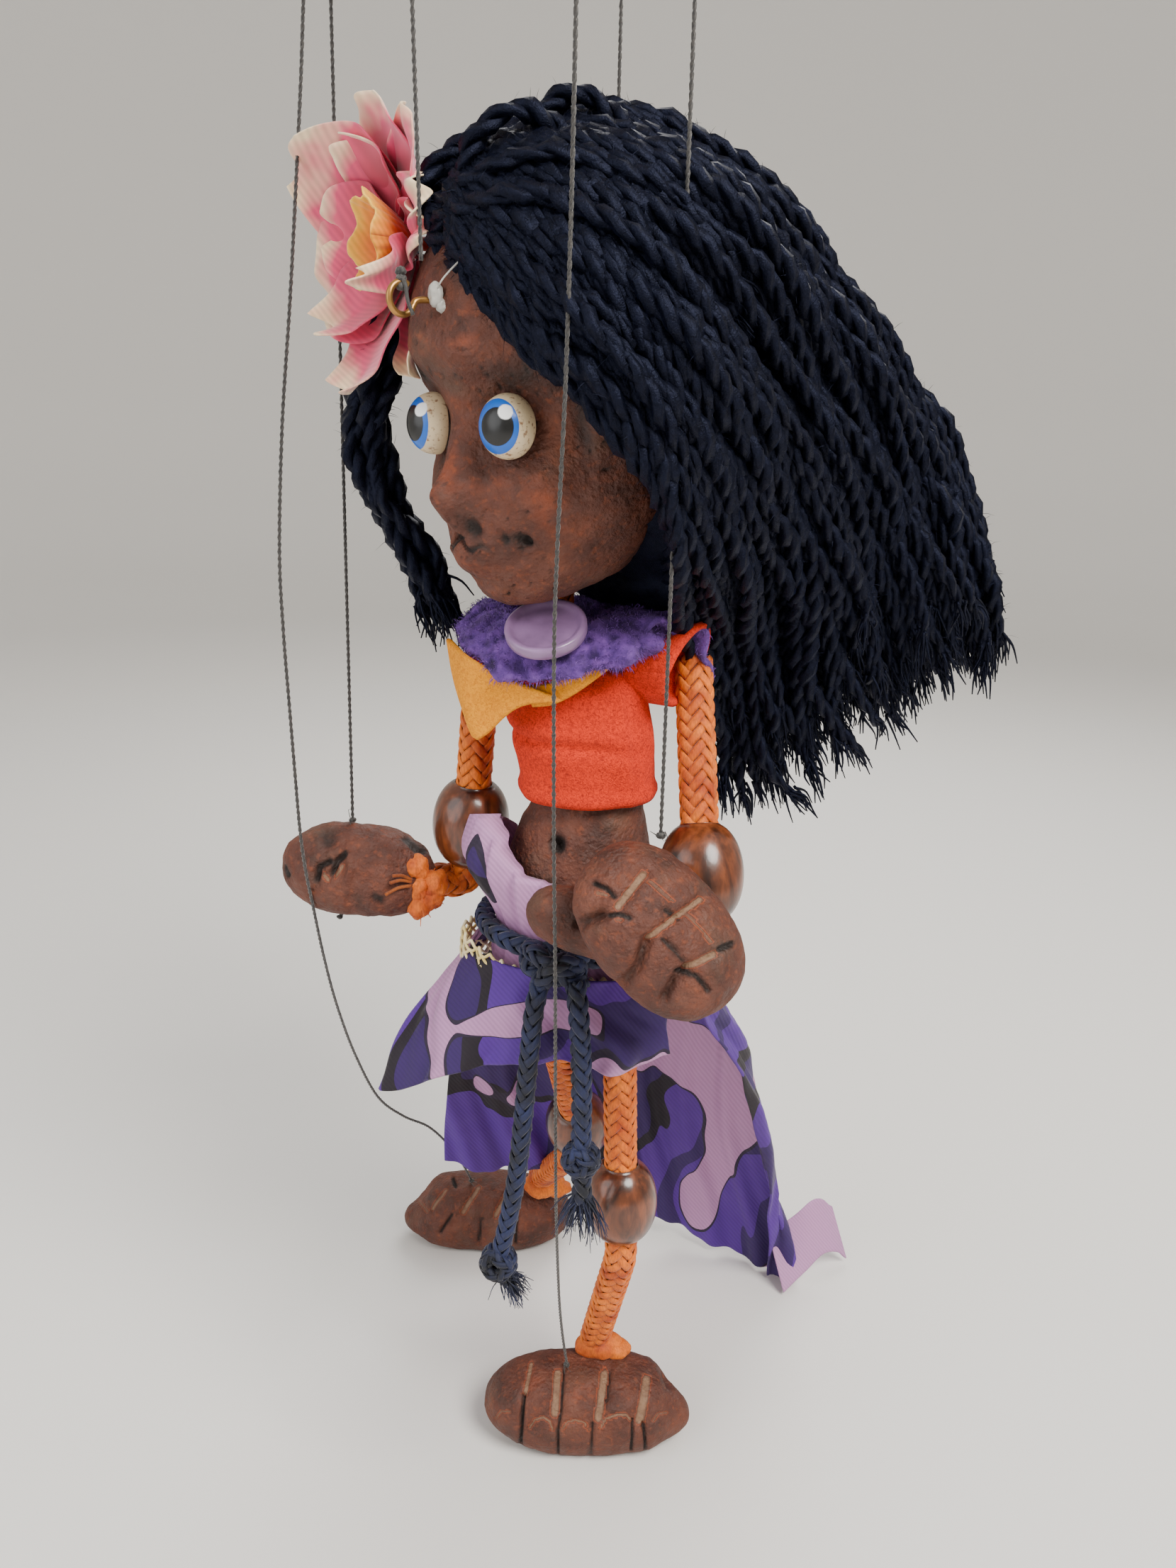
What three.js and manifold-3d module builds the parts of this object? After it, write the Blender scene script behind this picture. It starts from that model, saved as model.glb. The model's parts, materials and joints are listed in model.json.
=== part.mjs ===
// A string marionette: a dancer with a moulded head and body, cord limbs, wooden beads at the elbows and
// knees, a yarn wig and a cloth skirt, hung on six strings from a wooden hand control.
// Millimetres, +Z up. The pieces are laid out with z = 0 on the floor under the standing foot and the
// puppet facing -Y, and the whole group is then moved so that its origin is the middle of the control's
// top face, the place where a hand or a hook holds it.
import * as THREE from "three";
import { mergeVertices } from "three/addons/utils/BufferGeometryUtils.js";
import Module from "manifold-3d";

const wasm = await Module();
wasm.setup();

// ---- driving dimensions -------------------------------------------------------------------------
const GAP = 0.3; // clearance between pieces that touch
const CORD = 9.2; // braided limb cord
const BEAD = { diameter: 20, length: 22.5, bore: 10.2 };
const STRING = 1.0; // control string
const BELT = 5; // braided belt cord
const BUTTON = { diameter: 18.5, thickness: 3 };
const FOOT = { width: 62, length: 29, height: 24.5 };
const ELBOW_DROP = 6.2; // from the end of a bead to the bend of the cord under it

// The control: a main bar, with the hand bar screwed under it and the leg bar let into its top.
const CONTROL_TOP = 430; // top face of the main bar above the floor
const BAR = { thickness: 9, width: 12 };
const MAIN_BAR = { length: 145, yaw: -23.6, x: -1.1, y: 10.6 };
const HAND_BAR = { half: 56, yaw: -17.3, x: -14, y: -19 };
const LEG_BAR = { half: 52, yaw: -30.6, x: -22.6, y: -38.7 };
const STRING_HOLE = 3.2;
const SCREW = { shank: 3, head: 7, depth: 6.5 };
const PULL_BEAD = { diameter: 7, length: 6 };
const MAIN_UNDERSIDE = CONTROL_TOP - BAR.thickness;
const HAND_BAR_TOP = MAIN_UNDERSIDE - GAP;
const HOUSING = 1.5; // how deep the leg bar is let into the main bar
const LEG_BAR_TOP = CONTROL_TOP - HOUSING + GAP + BAR.thickness;

// Where the strings leave the control, and where they are tied to the puppet.
const HOLES = {
  right_hand: [-60.2, -4.6],
  left_hand: [26.3, -31.6],
  right_leg: [-58.1, -17.8],
  left_leg: [13, -59.7],
};
const HOLE_TOPS = {
  right_hand: HAND_BAR_TOP,
  left_hand: HAND_BAR_TOP,
  right_leg: LEG_BAR_TOP,
  left_leg: LEG_BAR_TOP,
};
const REAR_EYE = [-0.3, 12.4];
const FRONT_EYE = [-24.5, -43];

// Joint centres of the limbs.
const SHOULDER = { left: [23.6, 7.5, 240], right: [-28.3, 1, 239] };
const ELBOW_BEAD = { left: [31.8, -11.2, 195.4], right: [-33, 4, 195] };
const WRIST = { left: [36.5, -25.5, 180], right: [-43.5, 1, 178.5] };
const HIP = { left: [9, 5, 138], right: [-10, 6, 138] };
const KNEE_BEAD = { left: [11.2, 3.4, 90.2], right: [-13, 40, 87] };
const ANKLE = { left: [1, 17.5, 30], right: [-41.2, 87.1, 30] };
const TIED = { left: [26.6, -32.2, 210], right: [-61, -8, 195] }; // where the hand strings are tied
const ELBOW_BEND = { left: 25.5, right: 23.2 }; // degrees, a little past the full lift of the hand
const WRIST_BEND = { left: -14.8, right: -11.1 };
const HEAD = { x: -5, y: -11, turn: -28 }; // axis of the head and the way that it faces
const FORWARD = direction(HEAD.turn);
const LEFTWARD = direction(HEAD.turn + 90);

// ---- helpers ------------------------------------------------------------------------------------
function vector(p) {
  return new THREE.Vector3(...p);
}

// The level direction that lies the given angle, in degrees, to the puppet's left of -Y.
function direction(degrees) {
  const angle = THREE.MathUtils.degToRad(degrees);
  return new THREE.Vector3(Math.sin(angle), -Math.cos(angle), 0);
}

function along(from, to, distance) {
  const start = vector(from);
  const step = vector(to).sub(start).normalize();
  return start.addScaledVector(step, distance);
}

// A position in the head's own directions: forward, to the puppet's left, and height above the floor.
function inHead(forward, left, height) {
  return new THREE.Vector3(HEAD.x, HEAD.y, height)
    .addScaledVector(FORWARD, forward)
    .addScaledVector(LEFTWARD, left);
}

function positionsOnly(geometry) {
  const bare = new THREE.BufferGeometry();
  bare.setAttribute("position", geometry.getAttribute("position").clone());
  if (geometry.index) bare.setIndex(geometry.index);
  return mergeVertices(bare, 1e-3);
}

function toSolid(geometry) {
  const merged = positionsOnly(geometry);
  return new wasm.Manifold(
    new wasm.Mesh({
      numProp: 3,
      vertProperties: merged.attributes.position.array,
      triVerts: new Uint32Array(merged.index.array),
    }),
  );
}

function toGeometry(solid) {
  const mesh = solid.getMesh();
  const geometry = new THREE.BufferGeometry();
  geometry.setAttribute("position", new THREE.BufferAttribute(mesh.vertProperties, 3));
  geometry.setIndex(new THREE.BufferAttribute(mesh.triVerts, 1));
  return geometry;
}

function cut(geometry, ...tools) {
  return toGeometry(tools.reduce((solid, tool) => solid.subtract(toSolid(tool)), toSolid(geometry)));
}

// Skins a list of rings that have the same number of points. The ends are capped, about their middles or
// the given centres, or with loop the last ring joins the first. Faces are turned outwards.
function loft(rings, { loop = false, centres = [] } = {}) {
  const count = rings[0].length;
  const points = rings.flat();
  const faces = [];
  const bands = loop ? rings.length : rings.length - 1;
  for (let i = 0; i < bands; i++) {
    const next = (i + 1) % rings.length;
    for (let j = 0; j < count; j++) {
      const k = (j + 1) % count;
      faces.push([i * count + j, i * count + k, next * count + k]);
      faces.push([i * count + j, next * count + k, next * count + j]);
    }
  }
  if (!loop) {
    for (const [start, flip] of [[0, true], [(rings.length - 1) * count, false]]) {
      const centre = points.length;
      const sum = new THREE.Vector3();
      for (let j = 0; j < count; j++) sum.add(points[start + j]);
      points.push(centres[flip ? 0 : 1] ?? sum.divideScalar(count));
      for (let j = 0; j < count; j++) {
        const k = (j + 1) % count;
        faces.push(flip ? [start + k, start + j, centre] : [start + j, start + k, centre]);
      }
    }
  }
  const volume = faces.reduce(
    (sum, [a, b, c]) => sum + points[a].dot(new THREE.Vector3().crossVectors(points[b], points[c])),
    0,
  );
  if (volume < 0) faces.forEach((face) => face.reverse());
  const geometry = new THREE.BufferGeometry().setFromPoints(points);
  geometry.setIndex(faces.flat());
  return geometry;
}

// A level ellipse at a height. The radii may differ front and back.
function ellipse(x, y, z, halfWidth, halfDepth, count = 20) {
  return Array.from({ length: count }, (_, i) => {
    const angle = (i / count) * 2 * Math.PI;
    return new THREE.Vector3(x + halfWidth * Math.cos(angle), y + halfDepth * Math.sin(angle), z);
  });
}

// A thin sheet through surface(u, v), u and v from 0 to 1, of the given thickness.
function sheet(surface, columns, rows, thickness) {
  const step = 1e-3;
  const point = (u, v, side) => {
    const here = surface(u, v);
    const du = surface(u + step, v).sub(surface(u - step, v));
    const dv = surface(u, v + step).sub(surface(u, v - step));
    return here.addScaledVector(du.cross(dv).normalize(), (side * thickness) / 2);
  };
  const rings = Array.from({ length: columns + 1 }, (_, i) => {
    const front = Array.from({ length: rows + 1 }, (_, j) => point(i / columns, j / rows, 1));
    const back = Array.from({ length: rows + 1 }, (_, j) => point(i / columns, 1 - j / rows, -1));
    return [...front, ...back];
  });
  return loft(rings);
}

// A smooth surface through a grid of points, given as a list of curves.
function throughCurves(curves) {
  const across = curves.map((points) => new THREE.CatmullRomCurve3(points.map(vector)));
  return (u, v) => {
    const spine = new THREE.CatmullRomCurve3(
      across.map((curve) => curve.getPoint(THREE.MathUtils.clamp(v, 0, 1))),
    );
    return spine.getPoint(THREE.MathUtils.clamp(u, 0, 1));
  };
}

function tube(points, diameter, steps, sides = 8) {
  const route = new THREE.CatmullRomCurve3(points.map((p) => (p.isVector3 ? p : vector(p))));
  const section = new THREE.Shape();
  for (let i = 0; i < sides; i++) {
    const angle = (i / sides) * 2 * Math.PI;
    const x = (diameter / 2) * Math.cos(angle);
    const y = (diameter / 2) * Math.sin(angle);
    i ? section.lineTo(x, y) : section.moveTo(x, y);
  }
  return new THREE.ExtrudeGeometry(section, { steps, bevelEnabled: false, extrudePath: route });
}

// A lathe turned about +Z, from pairs of radius and height.
function turned(profile, segments) {
  const points = profile.map(([r, z]) => new THREE.Vector2(r, z));
  return new THREE.LatheGeometry(points, segments).rotateX(Math.PI / 2);
}

// A ball with its points moved by shape(x, y, z), each from -1 to 1.
function moulded(columns, rows, shape) {
  const geometry = new THREE.SphereGeometry(1, columns, rows).rotateX(Math.PI / 2);
  const place = geometry.attributes.position;
  for (let i = 0; i < place.count; i++) {
    const p = shape(place.getX(i), place.getY(i), place.getZ(i));
    place.setXYZ(i, p.x, p.y, p.z);
  }
  return geometry;
}

// A short cord from one joint to the next, with a rounded end at each joint that is named.
function cordBetween(from, to, { roundStart = false, roundEnd = false, segments = 10 } = {}) {
  const radius = CORD / 2;
  const length = vector(from).distanceTo(vector(to));
  const quarter = 3;
  const profile = [];
  if (roundStart) {
    for (let i = 0; i < quarter; i++) {
      const angle = (i / quarter) * (Math.PI / 2);
      profile.push([radius * Math.sin(angle), -radius * Math.cos(angle)]);
    }
  } else profile.push([0, 0]);
  profile.push([radius, 0], [radius, length]);
  if (roundEnd) {
    for (let i = quarter - 1; i >= 0; i--) {
      const angle = (i / quarter) * (Math.PI / 2);
      profile.push([radius * Math.sin(angle), length + radius * Math.cos(angle)]);
    }
  } else profile.push([0, length]);
  return placeAlong(turned(profile, segments), vector(from), vector(to));
}

// Turns a shape that stands on the origin along +Z so that it starts at one point towards another.
function placeAlong(geometry, from, to) {
  const turn = new THREE.Quaternion().setFromUnitVectors(
    new THREE.Vector3(0, 0, 1),
    to.clone().sub(from).normalize(),
  );
  return geometry.applyQuaternion(turn).translate(from.x, from.y, from.z);
}

function ball(centre, radius) {
  return new THREE.SphereGeometry(radius, 12, 8).translate(centre.x, centre.y, centre.z);
}

function rod(from, to, diameter, segments = 12) {
  const length = from.distanceTo(to);
  const profile = [[0, 0], [diameter / 2, 0], [diameter / 2, length], [0, length]];
  return placeAlong(turned(profile, segments), from, to);
}

// ---- materials ----------------------------------------------------------------------------------
const finish = (color, roughness, metalness = 0) =>
  new THREE.MeshStandardMaterial({ color, roughness, metalness });
const controlWood = finish(0xb88a58, 0.6);
const beadWood = finish(0x5c3120, 0.3);
const clay = finish(0x7a4632, 0.75);
const yarn = finish(0x14151c, 0.95);
const limbCord = finish(0xe07a30, 0.85);
const beltCord = finish(0x1f2740, 0.85);
const string = finish(0x1b1b1e, 0.7);
const redFelt = finish(0xe8430f, 0.95);
const yellowFelt = finish(0xf0b400, 0.95);
const chenille = finish(0x7a4f9e, 1);
const buttonPlastic = finish(0xc3a0cf, 0.35);
const skirtPrint = finish(0x6b3fa0, 0.85);
const lace = finish(0xe9dcae, 0.9);
const petalSilk = finish(0xee7f97, 0.6);
const cupSilk = finish(0xf2a83a, 0.6);
const eyePaint = finish(0xeee4d0, 0.3);
const wire = finish(0xb89a62, 0.35, 1);
const steel = finish(0xb9bcc0, 0.3, 1);

// The puppet, laid out on the floor.
const puppet = new THREE.Group();

function add(name, geometry, material) {
  const mesh = new THREE.Mesh(geometry, material);
  mesh.name = name;
  puppet.add(mesh);
  return mesh;
}

// ---- control ------------------------------------------------------------------------------------
function bar(length, across) {
  return new THREE.BoxGeometry(length, across, BAR.thickness).translate(0, 0, -BAR.thickness / 2);
}

function place(geometry, { x, y, yaw }, top) {
  return geometry.rotateZ(THREE.MathUtils.degToRad(yaw)).translate(x, y, top);
}

function drill(x, y, from, to, diameter) {
  return rod(new THREE.Vector3(x, y, from), new THREE.Vector3(x, y, to), diameter, 12);
}

// A pan head screw from its head towards its tip, along +Z; the origin is the underside of the head.
function screw() {
  const head = SCREW.head / 2;
  const shank = SCREW.shank / 2;
  const tip = BAR.thickness + SCREW.depth - 1;
  const profile = [[0, -2.2], [head - 0.8, -2.2], [head, -1.2], [head, 0], [shank, 0], [shank, tip], [0, tip]];
  return turned(profile, 12);
}

function buildControl() {
  const screwBore = SCREW.shank + 2 * GAP;
  const eyeBore = 2.6;
  const fromBelow = (x, y, bore) => drill(x, y, MAIN_UNDERSIDE - 1, MAIN_UNDERSIDE + SCREW.depth, bore);
  const fromAbove = drill(LEG_BAR.x, LEG_BAR.y, CONTROL_TOP - SCREW.depth, CONTROL_TOP + 1, screwBore);
  const main = place(bar(BAR.width, MAIN_BAR.length), MAIN_BAR, CONTROL_TOP);
  const seat = bar(2 * BAR.width, BAR.width + 2 * GAP);
  const housing = place(seat, LEG_BAR, CONTROL_TOP - HOUSING + BAR.thickness);
  const mainBores = [
    fromBelow(HAND_BAR.x, HAND_BAR.y, screwBore),
    fromAbove,
    fromBelow(...FRONT_EYE, eyeBore),
    fromBelow(...REAR_EYE, eyeBore),
  ];
  add("control_main_bar", cut(main, housing, ...mainBores), controlWood);
  const crossBars = { hand: [HAND_BAR, HAND_BAR_TOP], leg: [LEG_BAR, LEG_BAR_TOP] };
  for (const [name, [spec, top]] of Object.entries(crossBars)) {
    const through = (x, y, bore) => drill(x, y, top - BAR.thickness - 1, top + 1, bore);
    const plain = place(bar(2 * spec.half, BAR.width), spec, top);
    const bores = ["right", "left"].map((side) => through(...HOLES[`${side}_${name}`], STRING_HOLE));
    add(`control_${name}_bar`, cut(plain, through(spec.x, spec.y, screwBore), ...bores), controlWood);
  }
  const handScrew = add("hand_bar_screw", screw(), steel);
  handScrew.position.set(HAND_BAR.x, HAND_BAR.y, HAND_BAR_TOP - BAR.thickness - GAP);
  const legScrew = add("leg_bar_screw", screw(), steel);
  legScrew.position.set(LEG_BAR.x, LEG_BAR.y, LEG_BAR_TOP + GAP);
  legScrew.rotation.x = Math.PI;
}
buildControl();

// A screw eye: a ring of wire with its shank along the given direction.
function screwEye(ringCentre, shank, shankLength, upright) {
  const ringRadius = 2.9;
  const axis = shank.clone().normalize();
  const side = upright.clone().normalize();
  const points = [];
  const turns = 10;
  for (let i = 0; i <= turns; i++) {
    const angle = THREE.MathUtils.degToRad(60 + (i / turns) * 275);
    points.push(
      ringCentre
        .clone()
        .addScaledVector(axis, ringRadius * Math.cos(angle))
        .addScaledVector(side, ringRadius * Math.sin(angle)),
    );
  }
  points.push(ringCentre.clone().addScaledVector(axis, ringRadius + 1.6));
  points.push(ringCentre.clone().addScaledVector(axis, ringRadius + shankLength));
  return tube(points, 1.3, 20, 6);
}

const EYE_DROP = 5.5; // from the main bar to the middle of a screw eye's ring
for (const [name, [x, y]] of Object.entries({ front: FRONT_EYE, rear: REAR_EYE })) {
  const centre = new THREE.Vector3(x, y, MAIN_UNDERSIDE - EYE_DROP);
  const upwards = new THREE.Vector3(0, 0, 1);
  add(`${name}_screw_eye`, screwEye(centre, upwards, 8, direction(90)), steel);
}

function pullBead() {
  const radius = PULL_BEAD.diameter / 2;
  const profile = [
    [0, 0],
    [radius * 0.6, 0],
    [radius, PULL_BEAD.length * 0.35],
    [radius, PULL_BEAD.length * 0.65],
    [radius * 0.6, PULL_BEAD.length],
    [0, PULL_BEAD.length],
  ];
  return turned(profile, 12);
}

for (const [name, hole] of Object.entries(HOLES)) {
  add(`${name}_pull_bead`, pullBead(), beadWood).position.set(...hole, HOLE_TOPS[name] + GAP);
}

// ---- strings ------------------------------------------------------------------------------------
const EYE_STRING_TOP = MAIN_UNDERSIDE - EYE_DROP - 4.2; // just under the screw eye's ring
const stringTop = (name) => [...HOLES[name], HOLE_TOPS[name] - GAP]; // in the hole, under the pull bead
const TAUT_STRINGS = {
  front_head: [[...FRONT_EYE, EYE_STRING_TOP], [-22.4, -43.8, 325.6]],
  rear_head: [[...REAR_EYE, EYE_STRING_TOP], [-0.3, 12.4, 353]],
  left_hand: [stringTop("left_hand"), [26.6, -32.2, 211.8]],
  right_hand: [stringTop("right_hand"), [-61, -8, 196.6]],
};
for (const [name, ends] of Object.entries(TAUT_STRINGS)) {
  add(`${name}_string`, tube(ends, STRING, 8), string);
}
// The left leg's string passes close in front of the face, the belt knot and the tails.
const LEFT_LEG_ROUTE = [
  stringTop("left_leg"),
  [12.5, -57.5, 365],
  [10.5, -53.5, 310],
  [8, -50, 273],
  [6.3, -46, 251],
  [6.4, -44.6, 208],
  [6.3, -42.4, 181],
  [3.4, -31.5, 130],
  [-0.5, -18.1, 97.4],
  [-3.7, -4.8, 61.3],
  [-4.9, 2.6, 41.5],
  [-5, 8, 25.6],
];
add("left_leg_string", tube(LEFT_LEG_ROUTE, STRING, 26), string);
// The right leg's string hangs slack in a long bow past the right hand to the trailing foot.
const RIGHT_LEG_ROUTE = [
  stringTop("right_leg"),
  [-58.3, -18, 400],
  [-59.5, -19.5, 372],
  [-61.2, -21, 348],
  [-63, -23.6, 320],
  [-64.8, -26.4, 294],
  [-65.8, -28.6, 267],
  [-65.2, -29.8, 249],
  [-64.4, -30.2, 231],
  [-64.2, -29.6, 214],
  [-64.6, -28, 199],
  [-66, -24, 187],
  [-67.5, -18.5, 174],
  [-69.2, -11.5, 157],
  [-70.6, -3.5, 139],
  [-72.4, 9, 116.4],
  [-73.3, 24, 93.2],
  [-71.8, 38, 78.3],
  [-69, 51, 66.9],
  [-66.8, 62, 53.6],
  [-66.2, 72.4, 39.5],
  [-66.6, 82, 25.8],
];
add("right_leg_string", tube(RIGHT_LEG_ROUTE, STRING, 54), string);

// ---- head ---------------------------------------------------------------------------------------
// Rings of the head from the chin to the crown: height, reach forward and back, and half width.
const HEAD_RINGS = [
  [257.4, 13.5, 6, 4],
  [259.5, 16, 0, 8.5],
  [264, 19, -14, 14],
  [272, 22, -21, 20.5],
  [281, 26.5, -26, 25.5],
  [295, 29.5, -30, 29],
  [308, 34, -32, 29.5],
  [318, 35, -32, 28],
  [328, 31, -31, 25],
  [338, 23, -26, 19.5],
  [345, 13, -17, 12],
  [348, 4, -9, 5],
];
const NOSE = { height: 281, reach: 10, halfWidth: 6.5, halfHeight: 9 };

function headRing([height, front, back, halfWidth], grow = 0, count = 22) {
  return Array.from({ length: count }, (_, i) => {
    const angle = (i / count) * 2 * Math.PI;
    const middle = (front + back) / 2;
    const reach = (front - back) / 2 + grow;
    const left = (halfWidth + grow) * Math.sin(angle);
    const bridge =
      Math.exp(-((left / NOSE.halfWidth) ** 2)) *
      Math.exp(-(((height - NOSE.height) / NOSE.halfHeight) ** 2)) *
      (Math.cos(angle) > 0 ? NOSE.reach : 0);
    return inHead(middle + reach * Math.cos(angle) + bridge, left, height);
  });
}

const EYE = { forward: 24.2, left: 11.6, height: 295.4, radius: 6.4, bulge: 5 };
const HOOK = { forward: 38.5, left: 0, height: 318.5 };
const CROWN_HOOK = { x: REAR_EYE[0], y: REAR_EYE[1], height: 347 };

function eyeAxis(side) {
  return direction(HEAD.turn + side * 17);
}

function buildHead() {
  const sockets = [1, -1].map((side) => {
    const back = inHead(EYE.forward, side * EYE.left, EYE.height);
    const front = back.clone().addScaledVector(eyeAxis(side), 16);
    return rod(back, front, 2 * (EYE.radius + GAP), 20);
  });
  const hookEnd = inHead(HOOK.forward - 12, HOOK.left, HOOK.height);
  const hookStart = inHead(HOOK.forward, HOOK.left, HOOK.height);
  const crownEnd = new THREE.Vector3(CROWN_HOOK.x, CROWN_HOOK.y, CROWN_HOOK.height - 20);
  const crownStart = new THREE.Vector3(CROWN_HOOK.x, CROWN_HOOK.y, CROWN_HOOK.height + 10);
  const whole = loft(HEAD_RINGS.map((ring) => headRing(ring)));
  return cut(whole, ...sockets, rod(hookEnd, hookStart, 2.2), rod(crownEnd, crownStart, 2.4));
}
add("head", buildHead(), clay);

for (const [name, side] of [["left_eye", 1], ["right_eye", -1]]) {
  const profile = [[0, 0]];
  const steps = 6;
  for (let i = 0; i <= steps; i++) {
    const angle = (i / steps) * (Math.PI / 2);
    profile.push([EYE.radius * Math.cos(angle), 1.5 + EYE.bulge * Math.sin(angle)]);
  }
  profile[1][0] = EYE.radius;
  profile.splice(1, 0, [EYE.radius, 0]);
  profile[profile.length - 1][0] = 0;
  const back = inHead(EYE.forward, side * EYE.left, EYE.height).addScaledVector(eyeAxis(side), GAP);
  const ahead = back.clone().add(eyeAxis(side));
  add(name, placeAlong(turned(profile, 18), back, ahead), eyePaint);
}

const up = new THREE.Vector3(0, 0, 1);
add(
  "forehead_hook",
  screwEye(inHead(HOOK.forward + 3.4, HOOK.left, HOOK.height), FORWARD.clone().negate(), 11, up),
  wire,
);
add(
  "crown_hook",
  screwEye(
    new THREE.Vector3(CROWN_HOOK.x, CROWN_HOOK.y, CROWN_HOOK.height + 0.6),
    new THREE.Vector3(0, 0, -1),
    10,
    LEFTWARD,
  ),
  wire,
);

// ---- hair and flower ----------------------------------------------------------------------------
const CROWN_RINGS = [
  [257, -13, -26, 19],
  [264, -11, -33, 28],
  [280, 0, -39, 35.5],
  [300, 7, -41, 37],
  [318, 19, -41, 36.5],
  [332, 30, -39, 34],
  [345, 28, -34, 28],
  [354, 20, -26, 20],
  [361, 6, -16, 9],
];
const CROWN_SIDE = 3; // the wig sits further out on the puppet's left, where the yarn is swept

function wigRing(ring, grow = 0) {
  return headRing([ring[0], ring[1], ring[2], ring[3]], grow).map((p) =>
    p.addScaledVector(LEFTWARD, CROWN_SIDE),
  );
}

function buildWig() {
  const outer = loft(CROWN_RINGS.map((ring) => wigRing(ring)));
  const inflated = loft(HEAD_RINGS.map((ring) => headRing(ring, 0.5)));
  const hookRoom = drill(CROWN_HOOK.x, CROWN_HOOK.y, CROWN_HOOK.height - 12, CROWN_HOOK.height + 30, 9);
  return cut(outer, inflated, hookRoom);
}
add("hair_crown", buildWig(), yarn);

// The mane: level rings given by height, the reach to the camera's left and right of the axis seen from
// the front left, and the reach nearer and farther. It sweeps from the crown to the puppet's left.
const SWEEP = direction(107); // the level direction in which the mane spreads
const BEHIND = direction(197);
const MANE_RINGS = [
  [343, -2, 44, -8, 44],
  [325, 6, 73, -6, 52],
  [303, 14, 85, 2, 58],
  [285, 17, 94, 8, 60],
  [262, 21, 102, 15, 62],
  [245, 26, 107, 19, 62],
  [230, 31, 102, 21, 60],
  [215, 35, 88, 23, 57],
  [200, 37, 68, 26, 54],
  [186, 39, 50, 30, 48],
];

function maneRing([height, left, right, near, far]) {
  const count = 18;
  return Array.from({ length: count }, (_, i) => {
    const angle = (i / count) * 2 * Math.PI;
    return new THREE.Vector3(0, 0, height)
      .addScaledVector(SWEEP, (left + right) / 2 + ((right - left) / 2) * Math.cos(angle))
      .addScaledVector(BEHIND, (near + far) / 2 + ((far - near) / 2) * Math.sin(angle));
  });
}

function buildMane() {
  const whole = loft(MANE_RINGS.map(maneRing));
  const wig = loft(CROWN_RINGS.map((ring) => wigRing(ring, 0.5)));
  const skull = loft(HEAD_RINGS.map((ring) => headRing(ring, 0.5)));
  const hookRoom = drill(CROWN_HOOK.x, CROWN_HOOK.y, CROWN_HOOK.height - 12, CROWN_HOOK.height + 30, 9);
  return cut(whole, wig, skull, hookRoom);
}
add("hair_mane", buildMane(), yarn);

const LOCK_ROUTE = [
  [-42.5, -3.5, 316],
  [-48.5, -9, 303],
  [-51.5, -11.5, 293],
  [-50.5, -11.5, 282],
  [-47, -9.5, 270],
  [-41.5, -6.5, 259],
  [-36.5, -2.5, 248],
];
add("hair_right_lock", tube(LOCK_ROUTE, 10, 14), yarn);

const FLOWER = { x: -39.5, y: -27, z: 331, turn: -48 };
const FLOWER_AXIS = direction(FLOWER.turn);
const FLOWER_SIDE = direction(FLOWER.turn + 90); // towards the face
const FLOWER_CENTRE = new THREE.Vector3(FLOWER.x, FLOWER.y, FLOWER.z);

// One whorl of petals as a cupped star: each petal is given by its angle from the side that lies near
// the face, and its length.
function petals(list, lift, thickness, back) {
  const hub = 6;
  const outline = [];
  const pointsPerPetal = 6;
  list.forEach(([angle, length, width]) => {
    for (let i = 0; i < pointsPerPetal; i++) {
      const t = i / (pointsPerPetal - 1) - 0.5;
      const reach = hub + (length - hub) * (1 - (2 * Math.abs(t)) ** 2.2);
      const spread = THREE.MathUtils.degToRad(angle + t * width);
      outline.push([reach * Math.cos(spread), reach * Math.sin(spread)]);
    }
  });
  const at = (x, y, side) => {
    const radius = Math.hypot(x, y);
    return FLOWER_CENTRE.clone()
      .addScaledVector(FLOWER_SIDE, x)
      .addScaledVector(new THREE.Vector3(0, 0, 1), y)
      .addScaledVector(FLOWER_AXIS, lift * (radius / 33) ** 1.5 + back + side * thickness);
  };
  const rings = [-1, 1].map((side) => outline.map(([x, y]) => at(x, y, side / 2)));
  return loft(rings, { centres: [at(0, 0, -0.5), at(0, 0, 0.5)] });
}
add(
  "flower_outer_petals",
  petals([[10, 17, 60], [72, 30, 56], [128, 30, 50], [180, 27, 46], [232, 31, 50], [292, 29, 56]], 7, 1.2, -4),
  petalSilk,
);
add(
  "flower_inner_petals",
  petals([[40, 17, 50], [100, 24, 54], [155, 23, 50], [208, 24, 50], [262, 26, 54], [322, 16, 50]], 8, 1.2, -1),
  petalSilk,
);
const cupProfile = [[0, 0], [4.5, 0.5], [6, 4], [8.4, 10], [7.6, 10.3], [5, 4.4], [3.6, 1.9], [0, 1.6]];
const cupBase = FLOWER_CENTRE.clone().addScaledVector(FLOWER_AXIS, 1);
add("flower_cup", placeAlong(turned(cupProfile, 14), cupBase, cupBase.clone().add(FLOWER_AXIS)), cupSilk);
const stemStart = FLOWER_CENTRE.clone().addScaledVector(FLOWER_AXIS, -5.4);
const stemEnd = FLOWER_CENTRE.clone().addScaledVector(FLOWER_AXIS, -8.4);
add("flower_stem", rod(stemEnd, stemStart, 3, 8), cupSilk);

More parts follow.
